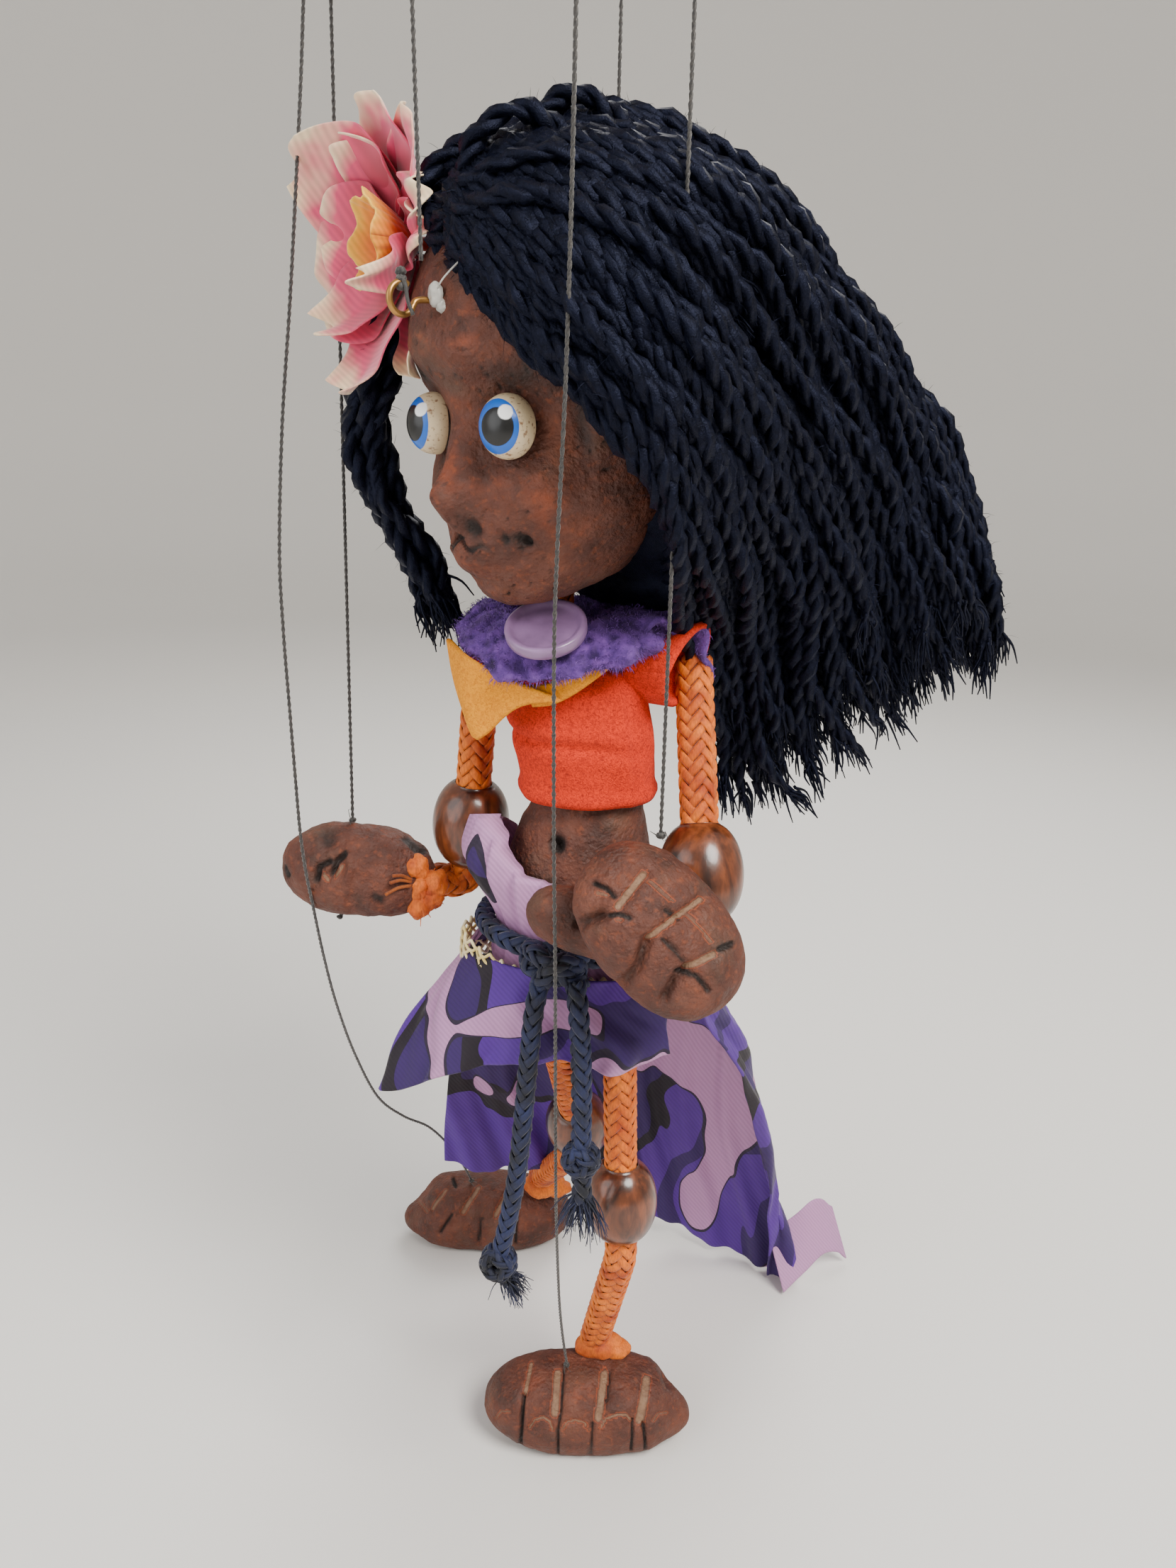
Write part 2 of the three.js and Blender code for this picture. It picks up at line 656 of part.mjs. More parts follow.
// ---- torso and clothes --------------------------------------------------------------------------
// Rings of the body: height, middle x and y, half width and half depth.
const TORSO_RINGS = [
  [138.5, -0.5, 4, 8, 7],
  [143, -0.5, 3, 14.5, 12.5],
  [152, -0.6, 2, 18.5, 17.5],
  [165, -0.8, 1, 20, 19.5],
  [178, -1.2, 0.5, 19.8, 19],
  [190, -1.6, 0, 18.6, 17.5],
  [200, -1, -0.2, 16, 15],
  [208, -0.2, 0, 13.8, 12.5],
  [225, -2, -0.5, 14.6, 13],
  [236, -4, -1.4, 15, 11.5],
  [241, -5.4, -2.2, 12, 9.5],
  [244, -6.4, -2.8, 7, 6.5],
];
const torsoAt = ([z, x, y, w, d], grow = 0) => ellipse(x, y, z, w + grow, d + grow);
function torsoRing(height, grow) {
  const above = TORSO_RINGS.findIndex((ring) => ring[0] >= height);
  const [low, high] = [TORSO_RINGS[above - 1], TORSO_RINGS[above]];
  const share = (height - low[0]) / (high[0] - low[0]);
  return torsoAt(low.map((value, i) => value + share * (high[i] - value)), grow);
}

const THIGH_SOCKET = CORD / 2 + 0.4;
add(
  "torso",
  cut(
    loft(TORSO_RINGS.map((ring) => torsoAt(ring))),
    ball(vector(HIP.left), THIGH_SOCKET),
    ball(vector(HIP.right), THIGH_SOCKET),
  ),
  clay,
);
add("neck_cord", rod(new THREE.Vector3(-6.8, -3.6, 244.4), new THREE.Vector3(-7, -4, 259), 7.5), limbCord);

// A band round the body between two heights, from one offset from its surface to another, flared by
// the given amount at its lower edge.
function band(low, high, inner, outer, flare = 0) {
  const between = TORSO_RINGS.map((ring) => ring[0]).filter((z) => z > low && z < high);
  const heights = [low, ...between, high];
  const edge = (offset) =>
    heights.map((z) => torsoRing(z, offset + (flare * (high - z)) / (high - low)));
  const [out, back] = [edge(outer), edge(inner)];
  const section = (j) => [...out.map((ring) => ring[j]), ...back.map((ring) => ring[j]).reverse()];
  return loft(out[0].map((_, j) => section(j)), { loop: true });
}
add("felt_top", band(209, 239.5, 0.6, 2.6), redFelt);
add("waist_sash", band(150, 187, 0.7, 2.3), skirtPrint);
add("petticoat_lace", band(157, 169, 2.8, 3.8, 1), lace);

const SCARF = [
  [[-30.5, -14.5, 246.5], [-21, -22.5, 243.5], [-9, -23.6, 239.5], [0, -22.6, 236.5]],
  [[-25.5, -17.6, 237], [-21.5, -21, 236], [-16.5, -22.4, 235], [-11, -22.7, 233.5]],
  [[-21.5, -20.5, 227], [-20.8, -20.9, 226.9], [-20, -21.3, 226.8], [-19.2, -21.7, 226.7]],
];
add("yellow_scarf", sheet(throughCurves(SCARF), 6, 5, 1.2), yellowFelt);

// The collar: a soft roll round the neck, lower at the front.
function buildCollar() {
  const count = 24;
  const rings = Array.from({ length: count }, (_, i) => {
    const angle = (i / count) * 2 * Math.PI;
    const outward = new THREE.Vector3(Math.cos(angle), Math.sin(angle), 0);
    const front = Math.max(0, -Math.sin(angle));
    const middle = new THREE.Vector3(-5.5, -3.5, 250.2 - 1.6 * front)
      .add(new THREE.Vector3(17.5 * Math.cos(angle), 14 * Math.sin(angle), 0));
    const halfWidth = 7.2 + 2 * front;
    const halfHeight = 4.2;
    return Array.from({ length: 8 }, (_, j) => {
      const turn = (j / 8) * 2 * Math.PI;
      const drop = front * 3.4 * Math.max(0, Math.cos(turn));
      return middle
        .clone()
        .addScaledVector(outward, halfWidth * Math.cos(turn))
        .add(new THREE.Vector3(0, 0, halfHeight * Math.sin(turn) - drop));
    });
  });
  return loft(rings, { loop: true });
}
const collar = buildCollar();

// The button lies on the front of the collar, tipped forward.
const BUTTON_CENTRE = new THREE.Vector3(-3, -23.5, 248.6);
const BUTTON_NORMAL = new THREE.Vector3(0.03, -0.66, 0.75);
function buildButton() {
  const radius = BUTTON.diameter / 2;
  const rim = radius - 2;
  const face = BUTTON.thickness;
  const profile = [[0, 0], [radius - 0.8, 0], [radius, 0.8], [radius, face - 0.5], [radius - 0.5, face]];
  profile.push([rim, face], [rim - 0.6, face - 1], [0, face - 1]);
  return placeAlong(turned(profile, 24), BUTTON_CENTRE, BUTTON_CENTRE.clone().add(BUTTON_NORMAL));
}
const seatStart = BUTTON_CENTRE.clone().addScaledVector(BUTTON_NORMAL, -GAP);
const seatEnd = BUTTON_CENTRE.clone().addScaledVector(BUTTON_NORMAL, 30);
const buttonSeat = rod(seatStart, seatEnd, BUTTON.diameter + 2 * GAP, 24);
const neckRoom = drill(-6.9, -3.8, 240, 265, 8.4);
const torsoRoom = loft(TORSO_RINGS.map((ring) => torsoAt(ring, 0.4)));
add("purple_collar", cut(collar, buttonSeat, neckRoom, torsoRoom, band(208, 239.6, -0.1, 3)), chenille);
add("collar_button", buildButton(), buttonPlastic);

// The belt: a cord round the hips over the sash, with a knot in front and two hanging tails.
const BELT_HEIGHT = 174.5;
const KNOT = new THREE.Vector3(1, -28, BELT_HEIGHT);
function buildBelt() {
  const radius = BELT / 2;
  const line = torsoRing(BELT_HEIGHT, 2.3 + GAP + radius);
  const middle = new THREE.Vector3(-1.1, 0.6, BELT_HEIGHT);
  const rings = line.map((p) => {
    const outward = p.clone().sub(middle).normalize();
    return Array.from({ length: 8 }, (_, j) => {
      const turn = (j / 8) * 2 * Math.PI;
      return p
        .clone()
        .addScaledVector(outward, radius * Math.cos(turn))
        .add(new THREE.Vector3(0, 0, radius * Math.sin(turn)));
    });
  });
  const hoop = toSolid(loft(rings, { loop: true }));
  const knot = moulded(12, 8, (x, y, z) => new THREE.Vector3(x * 8.5, y * 4.2, z * 5).add(KNOT));
  return toGeometry(hoop.add(toSolid(knot)));
}
add("belt_cord", buildBelt(), beltCord);

const TAIL_TOP = BELT_HEIGHT - 9.8;
const TAIL_FRONT = -33.5; // the tails hang straight down, this far in front of the axis
const TAILS = {
  right: [
    [-1.6, TAIL_TOP],
    [-2.9, 151],
    [-4.1, 136],
    [-5.6, 120],
    [-8, 105],
    [-10.6, 93],
    [-10.4, 82],
  ],
  left: [
    [9.3, TAIL_TOP],
    [10.1, 153],
    [10.5, 139],
    [10.6, 127],
    [11.1, 114],
    [12, 101],
  ],
};
for (const [side, route] of Object.entries(TAILS)) {
  const points = route.map(([x, z]) => new THREE.Vector3(x, TAIL_FRONT, z));
  const cord = toSolid(tube(points, BELT, 12));
  const tied = points[side === "right" ? 5 : 3];
  const knot = moulded(10, 8, (a, b, c) => new THREE.Vector3(4.6 * a, 4.4 * b, 5.2 * c).add(tied));
  add(`${side}_belt_tail`, toGeometry(cord.add(toSolid(knot))), beltCord);
}

// ---- skirt --------------------------------------------------------------------------------------
// The ruffle: a gathered flap over the front of the hips, flared towards its hem.
const RUFFLE = [
  [[-27, 8, 166], [-35, 5, 150], [-46, 1, 134], [-52, -3, 120]],
  [[-27, -10, 167], [-35, -15, 152], [-42, -19, 138], [-46, -21, 124]],
  [[-17, -21, 168], [-21, -24.5, 156], [-25, -27, 147], [-27, -29, 136]],
  [[-2, -24.6, 168.5], [-3.5, -26, 160], [-4.5, -27, 151], [-5.5, -27.6, 141]],
  [[12, -23, 168], [14, -24.6, 160], [15.5, -25.5, 152], [18, -25.5, 145]],
  [[22, -14, 167], [25, -16, 160], [27, -17.5, 154], [28, -18, 148]],
];
add("skirt_front_ruffle", sheet(throughCurves(RUFFLE), 10, 4, 1.4), skirtPrint);

// The train: one long drape from the left hip round the back, falling backwards to the floor.
const TRAIN = [
  [[26.5, -4, 167], [36, 12, 140], [43, 34, 105], [46, 60, 60], [46, 80, 25], [46, 92, 1.2]],
  [[24, 14, 167], [34, 33, 138], [43, 55, 100], [50, 78, 58], [56, 95, 24], [62, 110, 1.6]],
  [[12, 24, 167], [18, 47, 138], [26, 72, 98], [33, 94, 56], [36, 106, 24], [36, 113, 1.4]],
  [[-3, 26.5, 167], [-2, 51, 138], [0, 77, 97], [2, 96, 55], [4, 105, 24], [6, 108, 1.6]],
  [[-17, 22, 167], [-25, 43, 138], [-26, 66, 102], [-21, 86, 66], [-13, 96, 36], [-7, 101, 12]],
  [[-26.5, 10.5, 166], [-39, 25, 138], [-49, 42, 112], [-49, 56, 92], [-44, 66, 78], [-39, 72, 70]],
];
add("skirt_train", sheet(throughCurves(TRAIN), 12, 8, 1.4), skirtPrint);

// ---- arms ---------------------------------------------------------------------------------------
function bead() {
  const radius = BEAD.diameter / 2;
  const half = BEAD.length / 2;
  const bore = BEAD.bore / 2;
  const steps = 6;
  const spread = THREE.MathUtils.degToRad(58);
  const profile = [];
  for (let i = 0; i <= steps; i++) {
    const angle = spread * ((2 * i) / steps - 1);
    profile.push([radius * Math.cos(angle) ** 0.55, (half * Math.sin(angle)) / Math.sin(spread)]);
  }
  profile.push([bore, half], [bore, -half]);
  profile.push(profile[0].slice());
  return turned(profile, 16);
}

// Places a bead with its axis along the cord that runs through it.
function addBead(name, centre, from, to) {
  const mesh = add(name, bead(), beadWood);
  mesh.position.set(...centre);
  const axis = vector(to).sub(vector(from)).normalize();
  mesh.quaternion.setFromUnitVectors(new THREE.Vector3(0, 0, 1), axis);
}

// A hand: an oval pad, wider than long, with the fingers moulded on in the finer model.
const HANDS = {
  left: {
    centre: [28.5, -37.5, 190.8],
    wide: [0.68, 0.15, -0.72],
    fingers: [-0.38, -0.66, -0.65],
    size: [46.5, 37, 21],
  },
  right: {
    centre: [-59.8, -7.8, 182.4],
    wide: [-0.96, -0.27, 0.1],
    fingers: [0.1, -0.2, -0.97],
    size: [39.5, 24.5, 23],
  },
};

// The hollow that a rounded cord end turns in, open towards the cord.
function jointRoom(solid, pivot, cordStart) {
  const towards = along(pivot, cordStart, 16);
  const mouth = toSolid(rod(vector(pivot), towards, CORD + 2.4, 10));
  return toGeometry(solid.subtract(toSolid(ball(vector(pivot), CORD / 2 + 0.4))).subtract(mouth));
}

// The room that the elbow bead sweeps in the hand as the arm bends, as beads turned about both joints.
function beadRoom(side, elbow) {
  const tie = vector(TIED[side]);
  const swing = tie.clone().sub(vector(SHOULDER[side])).setZ(0).normalize();
  const hinge = new THREE.Vector3(swing.y, -swing.x, 0);
  const spread = new THREE.Vector3(0, 0, 1);
  const axis = vector(ELBOW_BEAD[side]).sub(vector(SHOULDER[side])).normalize();
  const tilt = new THREE.Quaternion().setFromUnitVectors(spread, axis);
  const about = (geometry, point, degrees) =>
    geometry
      .translate(-point[0], -point[1], -point[2])
      .applyQuaternion(new THREE.Quaternion().setFromAxisAngle(hinge, THREE.MathUtils.degToRad(degrees)))
      .translate(...point);
  return [0, 0.35, 0.7, 1.05].map((share) => {
    const barrel = moulded(12, 8, (x, y, z) => new THREE.Vector3(x * 10.7, y * 10.7, z * 13.4));
    barrel.applyQuaternion(tilt).translate(...ELBOW_BEAD[side]);
    return about(about(barrel, elbow, -share * ELBOW_BEND[side]), WRIST[side], -share * WRIST_BEND[side]);
  });
}

function buildHand({ centre, wide, fingers, size }, side, elbow, thumb) {
  const wrist = WRIST[side];
  const x = vector(wide).normalize();
  const z = new THREE.Vector3().crossVectors(x, vector(fingers)).normalize();
  const y = new THREE.Vector3().crossVectors(z, x);
  const [width, length, depth] = size.map((value) => value / 2);
  const pad = moulded(16, 10, (a, b, c) =>
    vector(centre)
      .addScaledVector(x, width * Math.sign(a) * Math.abs(a) ** 0.85)
      .addScaledVector(y, length * Math.sign(b) * Math.abs(b) ** 0.85)
      .addScaledVector(z, depth * c),
  );
  let solid = toSolid(pad);
  if (thumb) {
    const lobe = moulded(12, 8, (a, b, c) =>
      vector(thumb.centre)
        .addScaledVector(vector(thumb.long), thumb.length * a)
        .add(new THREE.Vector3(0, thumb.depth * b, thumb.height * c)),
    );
    solid = solid.add(toSolid(lobe));
  }
  const clear = beadRoom(side, elbow).reduce((left, room) => left.subtract(toSolid(room)), solid);
  return jointRoom(clear, wrist, elbow);
}
const THUMB = { centre: [12, -34.5, 188.5], long: [0.95, 0.1, -0.2], length: 12, depth: 6, height: 7.5 };

// A foot: a loaf with a flat sole.
const FEET = {
  left: { centre: [0.9, 11, 0], turn: 17 },
  right: { centre: [-62, 86.5, 0], turn: 17 },
};

function buildFoot({ centre, turn }, ankle, knee) {
  const forward = direction(turn);
  const side = direction(turn + 90);
  const middle = FOOT.height * 0.45;
  const loaf = moulded(18, 10, (a, b, c) => {
    const height = c > 0 ? middle + (FOOT.height - middle) * c : Math.max(0, middle * (1 + 1.25 * c));
    return vector(centre)
      .addScaledVector(side, (FOOT.width / 2) * Math.sign(a) * Math.abs(a) ** 0.8)
      .addScaledVector(forward, (-FOOT.length / 2) * Math.sign(b) * Math.abs(b) ** 0.8)
      .add(new THREE.Vector3(0, 0, height));
  });
  const mound = ball(vector(ankle).add(new THREE.Vector3(0, 0, -8)), 8.5);
  return jointRoom(toSolid(loaf).add(toSolid(mound)), ankle, knee);
}

for (const side of ["left", "right"]) {
  const shoulder = SHOULDER[side];
  const bead = ELBOW_BEAD[side];
  const reach = vector(shoulder).distanceTo(vector(bead));
  const cordEnd = along(shoulder, bead, reach + BEAD.length / 2 - 2).toArray();
  const elbow = along(shoulder, bead, reach + BEAD.length / 2 + ELBOW_DROP).toArray();
  add(`${side}_upper_arm_cord`, cordBetween(shoulder, cordEnd, { roundStart: true }), limbCord);
  addBead(`${side}_elbow_bead`, bead, shoulder, bead);
  const rounded = { roundStart: true, roundEnd: true };
  add(`${side}_forearm_cord`, cordBetween(elbow, WRIST[side], rounded), limbCord);
  add(`${side}_hand`, buildHand(HANDS[side], side, elbow, side === "left" && THUMB), clay);

  const hip = HIP[side];
  const kneeBead = KNEE_BEAD[side];
  const thigh = vector(hip).distanceTo(vector(kneeBead));
  const thighEnd = along(hip, kneeBead, thigh + BEAD.length / 2 - 2).toArray();
  const knee = along(hip, kneeBead, thigh + BEAD.length / 2 + ELBOW_DROP).toArray();
  add(`${side}_thigh_cord`, cordBetween(hip, thighEnd, { roundStart: true }), limbCord);
  addBead(`${side}_knee_bead`, kneeBead, hip, kneeBead);
  add(`${side}_shin_cord`, cordBetween(knee, ANKLE[side], rounded), limbCord);
  add(`${side}_foot`, buildFoot(FEET[side], ANKLE[side], knee), clay);
}

// ---- frame --------------------------------------------------------------------------------------
const marionette = new THREE.Group();
marionette.add(puppet);
puppet.position.set(-MAIN_BAR.x, -MAIN_BAR.y, -CONTROL_TOP);

export default marionette;
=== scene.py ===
import json
import math

import bmesh
import bpy
import numpy as np
from mathutils import Matrix, Vector, noise


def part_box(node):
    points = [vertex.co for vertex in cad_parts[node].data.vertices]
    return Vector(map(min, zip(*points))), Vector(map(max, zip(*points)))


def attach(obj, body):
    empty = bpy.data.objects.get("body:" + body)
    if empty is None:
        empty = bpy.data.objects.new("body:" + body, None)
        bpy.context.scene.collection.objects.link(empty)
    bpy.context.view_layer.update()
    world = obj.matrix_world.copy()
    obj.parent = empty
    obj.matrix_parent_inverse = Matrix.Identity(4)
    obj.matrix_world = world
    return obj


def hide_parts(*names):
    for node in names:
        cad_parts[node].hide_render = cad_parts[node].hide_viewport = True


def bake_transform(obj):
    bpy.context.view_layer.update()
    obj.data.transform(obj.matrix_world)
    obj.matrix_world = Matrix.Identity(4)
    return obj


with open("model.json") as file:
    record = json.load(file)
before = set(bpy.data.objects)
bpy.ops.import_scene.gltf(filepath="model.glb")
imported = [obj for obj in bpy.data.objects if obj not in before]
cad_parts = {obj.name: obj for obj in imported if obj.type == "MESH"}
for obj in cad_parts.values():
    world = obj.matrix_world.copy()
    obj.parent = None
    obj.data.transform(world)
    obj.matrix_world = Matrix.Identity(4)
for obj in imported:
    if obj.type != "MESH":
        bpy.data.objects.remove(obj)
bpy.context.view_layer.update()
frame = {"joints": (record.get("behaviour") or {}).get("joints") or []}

# ---- places --------------------------------------------------------------------------------------
# Shapes are worked out in millimetres from the floor under the standing foot, on the puppet's own
# upright axis, facing -Y, and moved into the row frame when an object is made.
SHIFT = np.array((1.1, -10.6, 1000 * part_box("left_foot")[0].z))
JOINTS = {j["name"]: np.array(j.get("pos_m", (0, 0, 0))) * 1000 - SHIFT for j in frame["joints"]}
UP = np.array((0.0, 0.0, 1.0))
SIDES = ("left", "right")


def to_row(points):
    """Millimetres from the floor to metres in the row frame."""
    return (np.asarray(points, float) + SHIFT) / 1000


def node_middle(name):
    low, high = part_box(name)
    return np.array((low + high) / 2) * 1000 - SHIFT


def unit(v):
    v = np.asarray(v, float)
    return v / np.linalg.norm(v)


def circle(turn, first, second):
    """Places on a unit circle between two directions, which may change along with a path."""
    return first * np.cos(turn)[..., None] + second * np.sin(turn)[..., None]


def units(rows):
    return rows / np.linalg.norm(rows, axis=1)[:, None]


def full_turn(count):
    """Evenly spaced angles round a circle."""
    return 2 * math.pi * np.arange(count) / count


def level(degrees):
    """The level direction that lies the given angle to the puppet's left of -Y."""
    angle = math.radians(degrees)
    return np.array((math.sin(angle), -math.cos(angle), 0.0))


ACROSS = level(107)  # level, to the right as the camera sees it
BEHIND = level(197)  # level, away from the camera


def by(amounts, way):
    """A direction times a number, or times each number of an array."""
    return np.multiply.outer(amounts, way)


def seen(across, behind, height):
    """Places given as the camera sees them: across to the right, behind the axis, above the floor."""
    return by(across, ACROSS) + by(behind, BEHIND) + by(height, UP)


# ---- camera, floor and light ---------------------------------------------------------------------
PITCH, ROLL = math.radians(17.3), math.radians(-1.3)
STANDOFF, EYE_HEIGHT = 288.0, 300.0


def make_camera():
    data = bpy.data.cameras.new("camera")
    data.lens = 28
    data.sensor_width = 36
    data.clip_start = 0.01
    camera = bpy.data.objects.new("camera", data)
    bpy.context.scene.collection.objects.link(camera)
    forward = BEHIND * math.cos(PITCH) - UP * math.sin(PITCH)
    upward = np.cross(ACROSS, forward)
    right = ACROSS * math.cos(ROLL) - upward * math.sin(ROLL)
    top = upward * math.cos(ROLL) + ACROSS * math.sin(ROLL)
    matrix = np.eye(4)
    matrix[:3, :3] = np.stack((right, top, -forward), axis=1)
    matrix[:3, 3] = to_row(-BEHIND * STANDOFF + UP * EYE_HEIGHT)
    camera.matrix_world = Matrix(matrix.tolist())
    bpy.context.scene.camera = camera


def make_light(name, place, target, size, power, colour):
    data = bpy.data.lights.new(name, "AREA")
    data.shape = "DISK"
    data.size = size
    data.energy = power
    data.color = colour
    lamp = bpy.data.objects.new(name, data)
    bpy.context.scene.collection.objects.link(lamp)
    lamp.location = to_row(place)
    lamp.rotation_mode = "QUATERNION"
    lamp.rotation_quaternion = (Vector(to_row(target)) - lamp.location).to_track_quat("-Z", "Y")


def make_stage():
    """A round floor that curves up into a wall all round, so that no horizon shows."""
    outline = [(0.0, 0.0), (1500, 0), (1750, 30), (1930, 140), (2030, 320), (2060, 700), (2060, 2600)]
    around = 72
    points, faces = [], []
    for radius, height in outline:
        for i in range(around):
            angle = 2 * math.pi * i / around
            points.append((radius * math.cos(angle), radius * math.sin(angle), height - 0.4))
    for i in range(len(outline) - 1):
        for j in range(around):
            k = (j + 1) % around
            faces.append((i * around + j, i * around + k, (i + 1) * around + k, (i + 1) * around + j))
    mesh = bpy.data.meshes.new("floor")
    mesh.from_pydata(to_row(points).tolist(), [], faces)
    mesh.polygons.foreach_set("use_smooth", [True] * len(faces))
    floor = bpy.data.objects.new("floor", mesh)
    bpy.context.scene.collection.objects.link(floor)
    finish = bpy.data.materials.new("floor_paint")
    finish.use_nodes = True
    surface = finish.node_tree.nodes["Principled BSDF"]
    surface.inputs["Base Color"].default_value = (0.78, 0.76, 0.73, 1)
    surface.inputs["Roughness"].default_value = 0.9
    mesh.materials.append(finish)
    world = bpy.data.worlds.new("studio")
    bpy.context.scene.world = world
    world.use_nodes = True
    world.node_tree.nodes["Background"].inputs[0].default_value = (1.0, 0.985, 0.96, 1)
    world.node_tree.nodes["Background"].inputs[1].default_value = 0.72
    make_light("key", seen(420, -520, 900), seen(0, 0, 200), 0.5, 15, (1.0, 0.97, 0.92))
    make_light("fill", seen(-700, -500, 500), seen(0, 0, 190), 0.9, 5, (0.95, 0.97, 1.0))
    make_light("rim", seen(200, 700, 800), seen(0, 0, 220), 0.7, 5, (1.0, 1.0, 1.0))


make_camera()
make_stage()


# ---- curves and surfaces -------------------------------------------------------------------------
def spline(points, count):
    """A smooth line through the points, as count places evenly spaced along it."""
    p = np.asarray(points, float)
    if len(p) == 2:
        return p[0] + (p[1] - p[0]) * np.linspace(0, 1, count)[:, None]
    p = np.concatenate(([2 * p[0] - p[1]], p, [2 * p[-1] - p[-2]]))
    fine = []
    t = np.linspace(0, 1, 24, endpoint=False)[:, None]
    for a, b, c, d in zip(p, p[1:], p[2:], p[3:]):
        fine.append(0.5 * (2 * b + (c - a) * t + (2 * a - 5 * b + 4 * c - d) * t**2
                           + (3 * b - a - 3 * c + d) * t**3))
    fine = np.concatenate(fine + [p[-2][None]])
    run = run_along(fine)
    where = np.linspace(0, run[-1], count)
    return np.stack([np.interp(where, run, fine[:, k]) for k in range(fine.shape[1])], axis=1)


def seen_line(places, count):
    return spline(seen(*np.array(places, float).T), count)


def run_along(path):
    """How far along a path each of its places lies."""
    return np.concatenate(([0], np.cumsum(np.linalg.norm(np.diff(path, axis=0), axis=1))))


def line_length(path):
    return float(run_along(path)[-1])


def frames_along(path):
    """Tangent and two side directions at each place of a path, turning as little as possible."""
    tangent = np.gradient(path, axis=0)
    tangent /= np.linalg.norm(tangent, axis=1)[:, None] + 1e-12
    side = np.zeros_like(path)
    start = np.cross(tangent[0], UP)
    if np.linalg.norm(start) < 0.2:
        start = np.cross(tangent[0], (1, 0, 0))
    side[0] = unit(start)
    for i in range(1, len(path)):
        flat = side[i - 1] - tangent[i] * (side[i - 1] @ tangent[i])
        side[i] = flat / (np.linalg.norm(flat) + 1e-12)
    return tangent, side, np.cross(tangent, side)


class Shape:
    """Gathers points and faces, in millimetres, and makes one object of them."""

    def __init__(self):
        self.points, self.faces, self.tints = [], [], []
        self.count = 0

    def add(self, points, faces, tint=0.0):
        points = np.asarray(points, float)
        self.points.append(points)
        self.tints.append(np.broadcast_to(np.asarray(tint, float), (len(points),)))
        self.faces.extend(tuple(i + self.count for i in face) for face in faces)
        self.count += len(points)

    def grid(self, grid, closed=(False, False), tint=0.0, caps=False):
        """Skins a grid of points of shape (rows, columns, 3)."""
        rows, columns = grid.shape[:2]
        faces = []
        for i in range(rows if closed[0] else rows - 1):
            a, b = i * columns, ((i + 1) % rows) * columns
            for j in range(columns if closed[1] else columns - 1):
                k = (j + 1) % columns
                faces.append((a + j, a + k, b + k, b + j))
        if caps:
            faces.append(tuple(range(columns - 1, -1, -1)))
            faces.append(tuple(range((rows - 1) * columns, rows * columns)))
        self.add(grid.reshape(-1, 3), faces, np.ravel(tint) if np.ndim(tint) else tint)

    def tube(self, path, radius, sides, tint=0.0, flute=0.0):
        """A round rod along a path. With flutes, every other side lies deeper and all turn as they go."""
        radius = np.broadcast_to(np.asarray(radius, float), (len(path),))
        _, side, other = frames_along(path)
        angle = full_turn(sides)
        turn = angle[None, :] + 0.35 * np.arange(len(path))[:, None] * (flute > 0)
        ring = circle(turn, side[:, None], other[:, None])
        ring = ring * (1 - flute * (np.arange(sides) % 2))[None, :, None]
        grid = path[:, None] + ring * radius[:, None, None]
        self.grid(grid, (False, True), tint, caps=True)

    def build(self, name, material):
        mesh = bpy.data.meshes.new(name)
        mesh.from_pydata(to_row(np.concatenate(self.points)).tolist(), [], self.faces)
        mesh.materials.append(material)
        mesh.polygons.foreach_set("use_smooth", [True] * len(self.faces))
        tints = mesh.attributes.new("tint", "FLOAT", "POINT")
        tints.data.foreach_set("value", np.concatenate(self.tints).astype(np.float32))
        mesh.validate()
        mesh.update()
        made = bpy.data.objects.new(name, mesh)
        bpy.context.scene.collection.objects.link(made)
        return made


def finish_normals(piece):
    """Turns the faces of closed pieces outwards."""
    work = bmesh.new()
    work.from_mesh(piece.data)
    bmesh.ops.recalc_face_normals(work, faces=work.faces)
    work.to_mesh(piece.data)
    work.free()
    return piece


def fractal(points, size, octaves, seed):
    """Smooth noise from about -1 to 1 at each place of a list or grid, with lumps of the given size."""
    start = Vector((seed, seed * 1.7, -seed))
    out = [noise.fractal(Vector(p / size) + start, 0.9, 2.1, octaves) for p in points.reshape(-1, 3)]
    return np.reshape(out, points.shape[:-1])


def place_piece(piece, body, slot, *nodes):
    """Puts a piece on a body, in place of the CAD nodes it stands for. The slot is not used."""
    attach(piece, body)
    if nodes:
        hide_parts(*nodes)
    return piece


def place_shape(shape, name, material, body, slot, *nodes):
    return place_piece(finish_normals(shape.build(name, material)), body, slot, *nodes)


# ---- materials -----------------------------------------------------------------------------------
def paint(code):
    """A web colour as Blender's linear colour."""
    parts = [int(code[i : i + 2], 16) / 255 for i in (1, 3, 5)]
    return tuple(c / 12.92 if c <= 0.04045 else ((c + 0.055) / 1.055) ** 2.4 for c in parts) + (1.0,)


